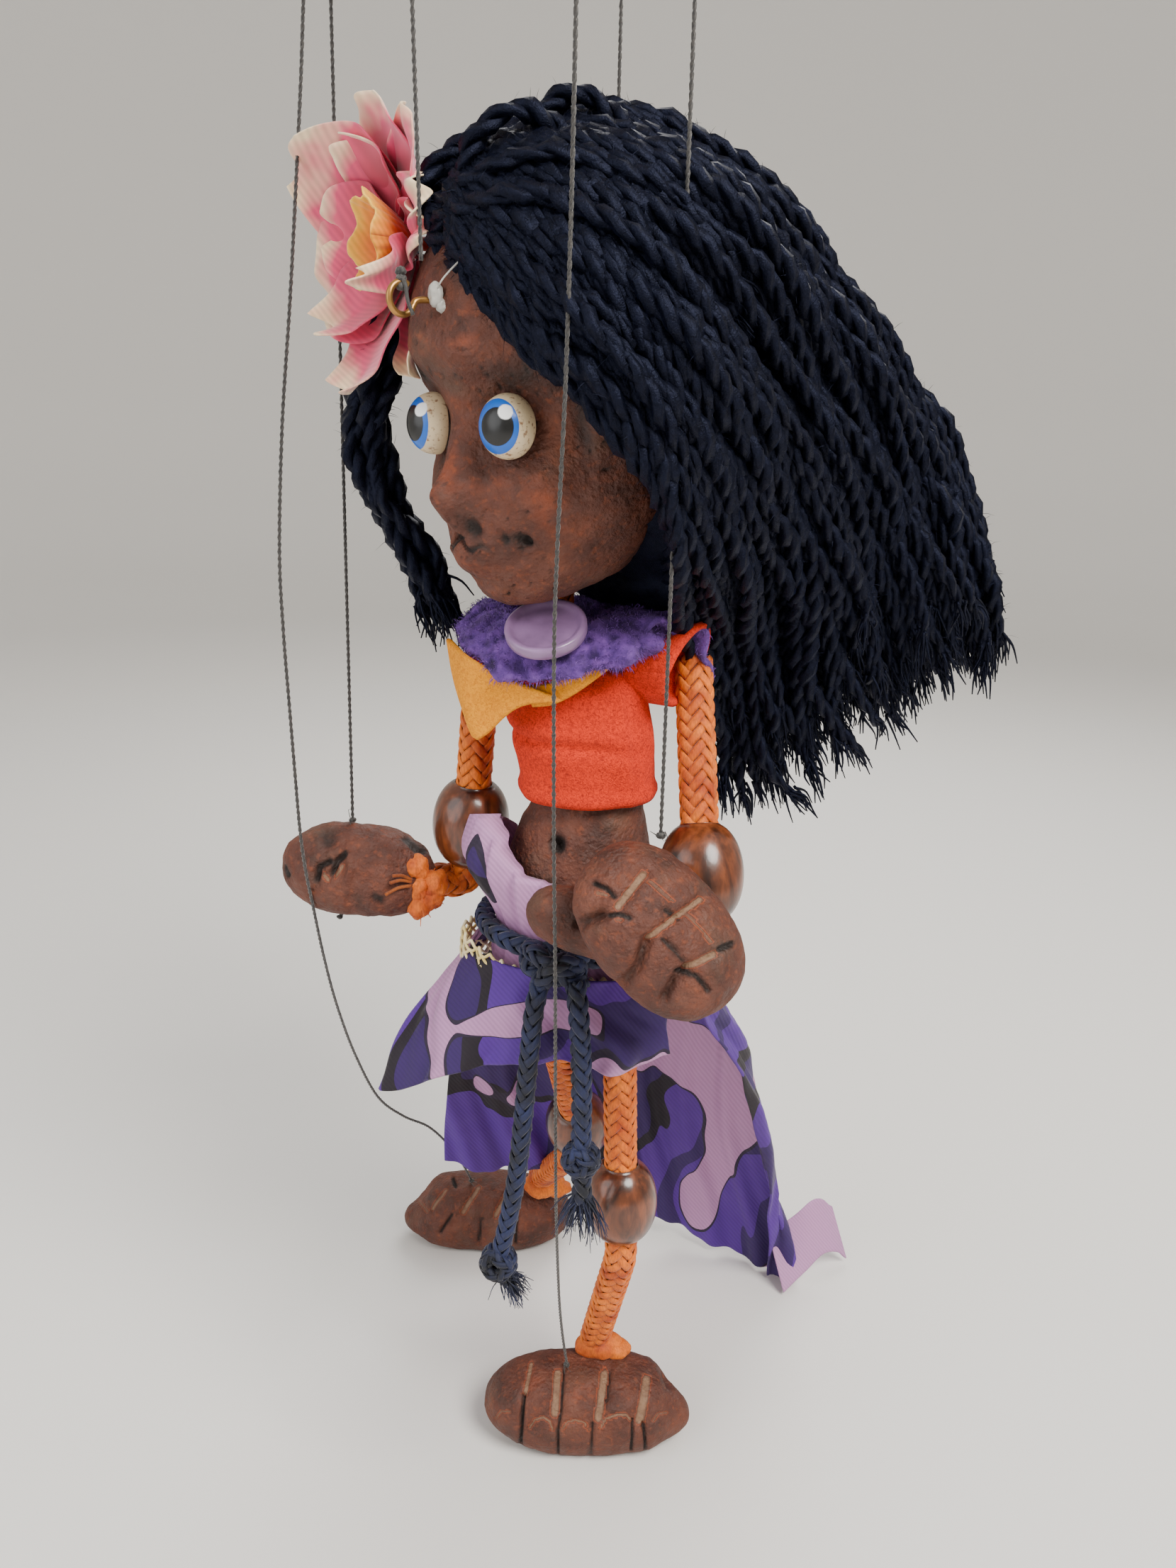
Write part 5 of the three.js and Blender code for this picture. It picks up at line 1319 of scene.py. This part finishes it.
def make_belt():
    turn = np.linspace(-math.pi / 2 + 0.02, 1.5 * math.pi - 0.02, 90)
    line = round_torso(BELT_HEIGHT + 0.6 * np.sin(2 * turn), turn, 5.0)
    shape = Shape()
    braid(shape, line, 5.2, 4)
    knot = np.array((1.0, -28.0, BELT_HEIGHT))
    tied_lump(shape, knot, (8.2, 4.4, 5.2), 4.6)
    over = ((-7, 2, 2), (-2, -3.6, 3), (4, -3.4, -1), (7, 1, -4))
    for loop in (over, ((7, 2, 2), (2, -4.6, 1.5), (-2, -4, -4))):
        braid(shape, spline([knot + place for place in loop], 30), 4.8, 4)
    ragged(shape, knot + (6, -2, -3), (0.8, -0.2, -0.5), 14, 4, 0.35)
    place_shape(shape, "braided_belt", NAVY, "root", "belt_cord", "belt_cord")


TAIL_TOP, TAIL_FRONT = BELT_HEIGHT - 9.8, -33.5
TAILS = {
    "right": [(-0.6, 172.5), (-1.6, TAIL_TOP), (-2.9, 151), (-4.1, 136), (-5.6, 120), (-8, 105), (-10.6, 93)],
    "left": [(7.6, 172), (9.3, TAIL_TOP), (10.1, 153), (10.5, 139), (10.6, 127), (11.1, 116)],
}


def make_tail(side):
    """A braided tail. The right one ends in a knot and a tuft, the left one frays below its knot."""
    path = spline([(x, TAIL_FRONT + 2.5 * max(0, z - TAIL_TOP) / 8, z) for x, z in TAILS[side]], 90)
    shape, ends = Shape(), Shape()
    braid(shape, path, 4.9, 4)
    body = f"{side}_belt_tail"
    piece = place_shape(shape, f"{side}_tail_braid", NAVY, body, "belt_cord", body)
    if side == "right":
        tied_lump(ends, path[-1] + (0, 0, -1), (4.8, 4.6, 4.8), 3.6)
        ragged(ends, path[-1] + (2.4, 0, -5), (0.55, 0.1, -0.8), 90, 7.5, 0.5, spread=0.4)
    else:
        tied_lump(ends, np.array((10.6, TAIL_FRONT, 127.0)), (4.8, 4.4, 4.6), 3.6)
        for way in ((-0.45, 0, -1), (0.05, -0.1, -1), (0.5, 0, -1)):
            ragged(ends, path[-1] + UP * 2, way, 34, 13, 0.5, spread=0.16)
    end = place_shape(ends, f"{side}_tail_end", NAVY, body, "belt_cord")


make_belt()
for tail_side in SIDES:
    make_tail(tail_side)


# ---- hair ----------------------------------------------------------------------------------------
# Guide lines of the hair as the camera sees them, from the face round over the crown to the far side.
GUIDES = [
    [(-27.3, -33, 325.6), (-18.3, -41, 315.3), (-9.1, -46, 305.9), (1.3, -49, 299.4), (10.1, -47, 286.7),
     (17.1, -34, 269.6), (23.8, 2, 243.9), (31.4, 20, 217.7), (40.3, 26, 192)],
    [(-28.7, -33, 331.8), (-15.2, -44, 325.4), (-0.5, -52, 315.7), (12.9, -50, 302.5), (25.6, -34, 284.7),
     (36.5, -8, 262.4), (43.8, 14, 236), (51.7, 24, 214.9), (61.7, 28, 200.8)],
    [(-29, -30, 339.1), (-12.6, -40, 337.2), (4.9, -46, 329.5), (23.4, -40, 314.2), (41.8, -18, 292.2),
     (57.9, 2, 265.2), (69.2, 18, 237.7), (76.8, 26, 217.1)],
    [(-25.8, -24, 346.3), (-10.2, -30, 347.6), (9.1, -34, 344), (30, -26, 332.5), (54.7, -4, 310.3),
     (76.5, 16, 279), (90.4, 28, 250.6), (99.2, 34, 232.9)],
    [(-14.3, -10, 355), (-1.6, -8, 357), (18.1, -4, 353.5), (40.2, 8, 340.5), (66.3, 22, 317),
     (89.8, 34, 289.7), (108.3, 42, 257.2), (117.3, 46, 237.4)],
    [(-12, 6, 356), (6, 18, 353), (30, 32, 338), (56, 44, 313), (80, 51, 283), (98, 55, 255), (104, 57, 234)],
    [(-14, 17, 355), (0, 33, 347), (22, 47, 330), (46, 55, 302), (68, 58, 268), (82, 58, 238), (88, 56, 220)],
    [(-22, 20, 348), (-12, 36, 335), (6, 50, 312), (26, 56, 282), (44, 56, 250), (58, 56, 222),
     (64, 54, 205)],
    [(-33, 16, 340), (-30, 33, 320), (-16, 45, 296), (4, 52, 270), (20, 52, 242), (34, 52, 216),
     (42, 50, 200)],
]
LOCK = [(-49.1, -2, 306.5), (-51.8, -2, 298.1), (-51.8, 0, 289.6), (-48.5, 0, 279.2), (-43.6, 2, 268.4),
        (-38.4, 3, 259.2), (-34.5, 4, 248.8)]
YARN_WIDTH = 4.7
GUIDE_POINTS = 44


def wander(count, steps, amount):
    """Slow random sideways drift for each strand, growing from its root to its tip."""
    knots = rng.normal(size=(count, 8, 3)) * amount
    knots[:, 0] *= 0.15
    knots[:, 1] *= 0.5
    return np.array([spline(k, steps) for k in knots])


def hair_strand(shape, path, width, phase):
    """A two-ply strand with a frayed tip and short loose fibres all along it."""
    steps = len(path)
    step = np.arange(steps)
    taper = np.interp(step, (0, steps * 0.9, steps - 1), (1, 1, 0.55)) * width
    uneven = 1 + 0.13 * np.sin(step * 0.55 + phase * 3) + 0.05 * np.sin(step * 1.7)
    twist(shape, path, taper * uneven, 12.5, 10, phase, tint=0.4, share=0.285, flute=0.24)
    last = unit(path[-1] - path[-3])
    ragged(shape, path[-1] - last * 3, last, 12, 10, 0.9, spread=0.2, tint=0.3)
    count = int(line_length(path) * 1.6)
    chosen = rng.integers(0, steps, count)
    ways = units(rng.normal(size=(count, 3)))
    fuzz(shape, path[chosen] + ways * width * 0.4, ways, 2.4, 0.1, droop=0.1, spread=0.8, tint=0.2)
    few = rng.integers(0, steps, max(2, count // 16))
    fuzz(shape, path[few], ways[: len(few)], 5.5, 0.12, droop=0.15, spread=0.9, tint=0.2)


MANE_SIDE = 90  # how far to the puppet's left the mane may spread before it is drawn in
MANE_LAYERS = ((1.0, 74), (0.96, 58), (0.86, 46), (0.66, 34))  # how full each layer is, and its strands


def make_mane():
    lines = np.array([seen_line(guide, GUIDE_POINTS) for guide in GUIDES])
    spine = lines.mean(axis=0)
    where = np.linspace(0, 1, GUIDE_POINTS)[:, None]
    outer, inner = Shape(), Shape()
    for depth, count in MANE_LAYERS:
        shape = outer if depth > 0.9 else inner
        drift = wander(count, GUIDE_POINTS, 2.1 if depth > 0.95 else 2.6)
        for k in range(count):
            at = (k + rng.uniform(-0.35, 0.35)) / (count - 1) * (len(GUIDES) - 1)
            at = min(max(at, 0), len(GUIDES) - 1.001)
            first = int(at)
            line = lines[first] + (lines[first + 1] - lines[first]) * (at - first)
            sunk = 1 - (1 - depth) * cross_fade(where, 0.12, 0.45)
            line = spine + (line - spine) * sunk + drift[k] * (0.6 + where)
            line[:, 0] -= 0.6 * np.maximum(line[:, 0] - MANE_SIDE, 0)
            end = int(GUIDE_POINTS * rng.uniform(0.84, 1.0))
            path = spline(line[:end], int(line_length(line[:end]) / 2.4))
            hair_strand(shape, path, YARN_WIDTH * rng.uniform(0.85, 1.12), rng.uniform(0, 6))
    place_piece(outer.build("mane_strands", YARN), "head", "yarn", "hair_mane")
    place_piece(inner.build("inner_strands", YARN), "head", "yarn")


# The wig that the strands are sewn to: height, reach forward and back, half width.
WIG_RINGS = [(255, -16, -24, 12), (259, -13, -29, 21), (264, -11, -33, 27), (280, 0, -38, 34),
             (300, 7, -39, 35), (318, 19, -39, 34.5), (332, 28, -37, 32), (345, 26, -32, 26),
             (354, 18, -24, 18), (359, 5, -14, 7)]
WIG_SHOULDER = 326  # above this height the wig is flattened
WIG_SHIFT = 3  # how far the wig sits to the puppet's left of the head's middle
# Loops of yarn on the parting, and where the strands combed over the crown start and end.
CROWN_LOOPS = [
    [(-31, -26, 330), (-35, -26, 339), (-29, -24, 347), (-19, -22, 348), (-12, -24, 343)],
    [(-25, -28, 334), (-26, -30, 345), (-17, -30, 353), (-7, -28, 349), (0, -28, 341)],
    [(-31, -22, 332), (-29, -24, 344), (-20, -28, 343), (-18, -30, 335)],
    [(-16, -20, 343), (-12, -20, 355), (-3, -18, 358), (6, -18, 351)],
    [(-30, -10, 336), (-28, -8, 347), (-18, -8, 354), (-8, -10, 352)],
    [(-33, -28, 329), (-26, -33, 332), (-16, -37, 332), (-6, -40, 329)],
    [(-32, -29, 323), (-24, -36, 325), (-12, -42, 323), (0, -46, 316)],
]
CROWN_ROOTS = [(-30, -34, 322), (-31, -20, 338), (-26, -4, 346), (-24, 12, 344), (-28, 24, 330)]
CROWN_ENDS = [(22, -44, 312), (34, -22, 330), (36, 4, 336), (28, 30, 328), (6, 44, 310)]


def comb_crown(shape, surface):
    """Strands laid close over the crown, from the parting by the flower to the roots of the mane."""
    middle = seen(0, 0, 312)
    rays = surface.reshape(-1, 3) - middle
    reach = np.linalg.norm(rays, axis=1)
    rays = rays / reach[:, None]
    count, steps = 52, 26
    roots = seen_line(CROWN_ROOTS, count)
    ends = seen_line(CROWN_ENDS, count)
    drift = wander(count, steps, 1.1)
    share = np.linspace(0, 1, steps)[:, None]
    for k in range(count):
        ways = [unit(way) for way in roots[k] * (1 - share) + ends[k] * share - middle]
        far = np.array([reach[np.argmax(rays @ way)] for way in ways])
        far = np.convolve(np.pad(far, 2, mode="edge"), np.ones(5) / 5, mode="valid")
        line = middle + np.array(ways) * (far + 0.2 + 1.3 * (k % 3))[:, None] + drift[k]
        hair_strand(shape, line, YARN_WIDTH, k * 1.7)


def make_wig():
    """The wig and its strands: round the sides, over the crown, and the loops on the parting."""
    rings = spline(WIG_RINGS, 90)
    forward, left, height = head_rings(rings, full_turn(120))
    grid = in_head(forward, left + WIG_SHIFT, height)
    lumps = fractal(grid, 6, 3, 4.4)
    grid = swollen(grid, lumps * 1.2)
    grid[..., 2] -= 0.3 * np.maximum(grid[..., 2] - WIG_SHOULDER, 0)
    shape = Shape()
    shape.grid(grid, (False, True), tint=0.2, caps=True)
    strands, steps = 30, 30  # the strands that lie round the wig on each side, from low to high
    drift = wander(2 * strands, steps, 1.6)
    levels, *reaches = zip(*WIG_RINGS)
    for k in range(strands):
        height = 262 + 78 * k / (strands - 1)
        start, end = -1.2 + 0.1 * math.sin(k), -2.9 - 0.1 * math.cos(3 * k)
        for low, high, index in ((start, -math.pi / 2 - 0.5, k), (-math.pi / 2 - 0.3, end, strands + k)):
            angles = np.linspace(low, high, steps)
            level_at = height + 6 - 16 * np.linspace(0, 1, steps)
            ahead, back, half = (np.interp(level_at, levels, reach) for reach in reaches)
            fore = (ahead + back) / 2 + ((ahead - back) / 2 + 1.5) * np.cos(angles)
            side = (half + 1.5) * np.sin(angles) + WIG_SHIFT
            line = in_head(fore, side, level_at) + drift[index] * 0.6
            hair_strand(shape, line, 5.2, k)
    comb_crown(shape, grid)
    for loop in CROWN_LOOPS:
        line = seen_line(loop, 40)
        hair_strand(shape, line, YARN_WIDTH, loop[0][0])
    place_piece(shape.build("wig_strands", YARN), "head", "yarn", "hair_crown")


def make_lock():
    """The strands that hang past the far cheek, from behind the flower: a ring of them and one inside."""
    shape = Shape()
    steps, ring = 46, 8
    start = seen_line([(-42, -6, 330), (-47, -4, 318)], 6)
    whole = spline(np.concatenate((start, seen_line(LOCK, 40))), steps)
    drift = wander(ring + 1, steps, 1.2)
    for k in range(ring + 1):
        angle = 2 * math.pi * k / ring
        out = 3.4 if k < ring else 0.0
        offset = ACROSS * math.cos(angle) * out + BEHIND * (math.sin(angle) * out + 1)
        end = int(steps * rng.uniform(0.86, 1.0))
        hair_strand(shape, (whole + offset + drift[k])[:end], 5.0, k * 1.3)
    place_piece(shape.build("lock_strands", YARN), "head", "yarn", "hair_right_lock")


make_mane()
make_wig()
make_lock()


# ---- flower --------------------------------------------------------------------------------------
def silk_finish(name, base, middle, tip):
    made = Finish(name, 0.6)
    varied = made.math("MULTIPLY", made.math("SUBTRACT", made.noise(9, 2), 0.5), 0.55)
    along = made.math("ADD", made.tint(), varied)
    colour = made.ramp(along, (0.32, paint(base)), (0.76, paint(middle)), (1.0, paint(tip)))
    weave = made.wave(0.5, "DIAGONAL", 0.3)
    made.dress(Base_Color=made.multiply(colour, made.ramp(weave, (0.0, 0.86), (1.0, 1.04))),
               Sheen_Weight=0.35, Subsurface_Weight=0.15, Subsurface_Radius=(0.002, 0.001, 0.001))
    return made.bump(weave, 0.02)


PETAL_SILK = silk_finish("petal_silk", "#b0143f", "#de446f", "#f2d8b0")
CUP_SILK = silk_finish("cup_silk", "#d23406", "#ec9410", "#f4c030")
FLOWER = np.array((-39.5, -27, 331)) + ACROSS * 6.5
FLOWER_AXIS, FLOWER_SIDE = level(-48), level(42)
# Petals: angle from the near side, length, width, lift at the tip, curl of the tip, set back.
OUTER_PETALS = [(100, 28, 25, 9, 1, 2), (64, 26, 16, 9, -2, 3.4), (143, 29, 29, 17, 2, 1),
                (198, 28, 30, 17, -3, 2), (254, 31, 24, 12, 2, 1), (280, 27, 14, 6, -2, 3)]
INNER_PETALS = [(32, 18, 12, 6, -3, 1), (326, 16, 11, 10, 5, 0), (4, 14, 13, 5, -4, 1),
                (170, 23, 20, 13, -2, 0), (226, 23, 17, 13, 2, 0), (118, 22, 19, 9, 2, 0)]


def make_petals(name, node, petals, seed):
    shape = Shape()
    for k, (angle, length, wide, lift, curl, back) in enumerate(petals):
        way = FLOWER_SIDE * math.cos(math.radians(angle)) + UP * math.sin(math.radians(angle))
        tangent = np.cross(FLOWER_AXIS, way)
        v = np.linspace(0, 1, 34)[:, None]
        u = np.linspace(-1, 1, 27)[None, :]
        half = wide / 2 * (np.sin(math.pi * (0.1 + 0.83 * v**0.95)) ** 0.7 + 0.04)
        crease = 1.3 * np.cos(u * 3.4 + k) * v + 0.9 * np.sin(5 * v + 3 * u + seed + k) * v
        edge = 0.8 * np.sin(11 * v + 2 * k) * np.abs(u) ** 3
        along = 3 + (length - 3) * v * (1 - 0.05 * u**2)
        rolled = 12.6 * curl * np.maximum(0, v - 0.72) ** 2
        out = lift * v**1.25 - back + rolled + crease + edge + 2.6 * u**2 * (1 - v) + 1.2 * u**2
        grid = FLOWER + by(along, way) + by(half * u, tangent) + by(out, FLOWER_AXIS)
        tint = np.clip(v * 0.92 + 0.12 * u**2, 0, 1)
        thick_sheet(shape, grid, 0.35, tint=tint)
    piece = place_shape(shape, name, PETAL_SILK, "head", "petal_silk", node)


def make_cup():
    """The scalloped trumpet in the middle of the flower, and the stem behind it."""
    shape = Shape()
    v = np.linspace(0, 1, 30)[:, None]
    a = 2 * math.pi * np.arange(97)[None, :] / 96
    radius = 2.2 + 6.6 * v**0.75 + 0.7 * np.sin(6 * a + 0.5) * v**2 + 0.25 * np.sin(23 * a) * v
    out = 0.5 + 9.6 * v + 0.9 * np.sin(6 * a + 1.2) * v**3
    grid = (FLOWER + by(out, FLOWER_AXIS) + by(radius * np.cos(a), FLOWER_SIDE)
            + by(radius * 1.02 * np.sin(a), UP))
    thick_sheet(shape, grid, 0.4, tint=np.clip(v * 0.95 + 0 * a, 0, 1))
    place_shape(shape, "silk_cup", CUP_SILK, "head", "cup_silk", "flower_cup")
    stem = Shape()
    stem.tube(spline([FLOWER + FLOWER_AXIS * out for out in (-8.4, -4, 1)], 12), 1.4, 14)
    place_shape(stem, "silk_stem", CUP_SILK, "head", "cup_silk", "flower_stem")


make_petals("outer_petal_silk", "flower_outer_petals", OUTER_PETALS, 1.0)
make_petals("inner_petal_silk", "flower_inner_petals", INNER_PETALS, 2.5)
make_cup()


# ---- wires, knots and control --------------------------------------------------------------------
BRASS = plain_finish("brass_wire", "#b98a4e", 0.35, Metallic=0.85)
STEEL = plain_finish("steel", "#9c9ea3", 0.3, Metallic=1.0)
GLUE = plain_finish("glue", "#e6e4dd", 0.25, Transmission_Weight=0.35)


def ring_wire(shape, middle, shank, reach, upright):
    """An open eye of wire that runs on into a straight shank."""
    shank, upright = unit(shank), unit(upright)
    angle = np.radians(np.linspace(60, 335, 40))
    ring = [middle + shank * 2.9 * math.cos(a) + upright * 2.9 * math.sin(a) for a in angle]
    path = spline(ring + [middle + shank * 4.5, middle + shank * (2.9 + reach)], 120)
    shape.tube(path, 0.65, 12)


WIRES = (
    ("forehead_hook", "head", "brass_wire", BRASS, in_head(41.9, 0, 318.5), -FORWARD, 11, UP),
    ("crown_hook", "head", "brass_wire", BRASS, np.array((-0.3, 12.4, 347.6)), -UP, 10, LEFTWARD),
    ("front_screw_eye", "root", "steel", STEEL, np.array((-24.5, -43, 415.5)), UP, 8, level(90)),
    ("rear_screw_eye", "root", "steel", STEEL, np.array((-0.3, 12.4, 415.5)), UP, 8, level(90)),
)
for wire_name, wire_body, wire_slot, metal, middle, shank, reach, upright in WIRES:
    wire = Shape()
    ring_wire(wire, middle, shank, reach, upright)
    place_shape(wire, f"bent_{wire_name}", metal, wire_body, wire_slot, wire_name)


def blob(shape, centre, half, seed):
    """A lump of glue, thread or cord."""
    long, forth, high = ball_grid(30, 36)
    grid = np.array(centre, float) + seen(half[0] * long, half[1] * forth, half[2] * high)
    lumps = fractal(grid, max(half), 3, seed) * min(half) * 0.3
    shape.grid(swollen(grid, lumps), (False, True), 0.6, caps=True)


def make_extras():
    glue, threads = Shape(), Shape()
    dab = in_head(35, 1.6, 319.5)
    blob(glue, dab, (1.5, 1.5, 2.4), 3)
    blob(glue, dab + ACROSS * 1.2 - UP * 2, (1.1, 1.1, 1.3), 5)
    glue.tube(spline([dab, dab + (2, -1.5, 2.5), dab + (5, 0, 6), dab + (7, 2, 8)], 20), 0.2, 5)
    place_shape(glue, "glue_dab", GLUE, "head", "brass_wire")
    knot = in_head(41.9, 0, 322)
    for shift in ((0, 0, 0), (0.2, -0.3, -1.4), (-0.1, 0.2, 1.3)):
        blob(threads, knot + shift, (1.0, 1.0, 0.9), 1)
    hanging = spline([knot, knot + (1.2, -0.8, -1), knot + (1.7, -0.9, -4), knot + (2.6, -0.6, -6.5)], 16)
    threads.tube(hanging, 0.42, 6)
    place_shape(threads, "hook_knot", THREAD, "head", "string")
    ends = {"left_hand": ((26.6, -32.2, 211), 1.0), "right_hand": ((-61, -8, 196), 0.9),
            "left_leg": ((-5, 8, 25.3), 0.9), "right_leg": ((-66.6, 82, 25.5), 0.9)}
    for name, (place, size) in ends.items():
        tied = Shape()
        blob(tied, np.array(place), (size, size, size * 0.8), 2)
        ragged(tied, np.array(place), (0.5, -0.6, 0.2), 3, 3, 0.3)
        limb = name.replace("leg", "foot")
        place_shape(tied, f"{name}_string_knot", THREAD, limb, "string")
    under = Shape()
    place = np.array(RIGHT_HAND) + ACROSS * -4.2 - UP * 11.6
    under.tube(spline([place + UP * 2, place, place + (-1, -0.4, -1.6)], 10), 0.5, 6)
    blob(under, place + (-1.2, -0.5, -2), (0.9, 0.8, 0.7), 4)
    place_shape(under, "under_hand_knot", THREAD, "right_hand", "string")


def make_wrist_tie():
    """The orange cord frayed and tied where it enters the right hand, and its glued mounds on the feet."""
    shape = Shape()
    centre = np.array(RIGHT_HAND)
    lumps = (15.6, -2.5, 3.6), (16.2, 2.6, 4.1), (16.4, 7.0, 4.0), (20.5, 1.5, 3.6), (19.5, 5.5, 3.4)
    for across, down, size in lumps:
        spot = centre + ACROSS * across - UP * down - BEHIND * 4.5
        blob(shape, spot, (size, size, size * 0.95), across)
        ragged(shape, spot, (0.1, -0.4, 0), 12, size * 1.4, 0.6, spread=0.9)
    for lift in (2.5, 1.0, -1.5):
        root = centre + ACROSS * 15 + UP * (lift * 0.4) - BEHIND * 9
        tip = centre + ACROSS * (9.6 + 0.5 * lift) + UP * lift * 1.3 - BEHIND * 12.4
        shape.tube(spline([root, (root + tip) / 2 + UP * 0.6, tip], 14), 0.45, 6)
    place_shape(shape, "wrist_tie", LIMB, "right_hand", "limb_cord")
    for side, spot in (("left", JOINTS["left_ankle"]), ("right", JOINTS["right_ankle"])):
        mound = Shape()
        blob(mound, spot + ACROSS * 1.5 - UP * 3.6, (7.6, 5.2, 4.2), 6)
        blob(mound, spot + ACROSS * 6.0 - UP * 5.0, (4.6, 4.0, 3.0), 9)
        place_shape(mound, f"{side}_cord_mound", LIMB, f"{side}_foot", "limb_cord")


def dress_control():
    """The bars and screws keep the CAD's shape, the bars with softened edges. The neck cord is braided."""
    bars = ("control_main_bar", "control_hand_bar", "control_leg_bar")
    for name in bars + ("hand_bar_screw", "leg_bar_screw"):
        node = bpy.data.objects[name]
        node.data.materials.clear()
        node.data.materials.append(BAR_WOOD if name in bars else STEEL)
        if name in bars:
            edge = node.modifiers.new("soft_edge", "BEVEL")
            edge.width = 0.0007
            edge.segments = 3
            edge.limit_method = "ANGLE"
    neck = Shape()
    braid(neck, np.array([(-6.8, -3.6, 243), (-6.9, -3.8, 251), (-7, -4, 260)]), 7.4, 6)
    place_shape(neck, "neck_braid", LIMB, "root", "limb_cord", "neck_cord")


make_extras()
make_wrist_tie()
dress_control()
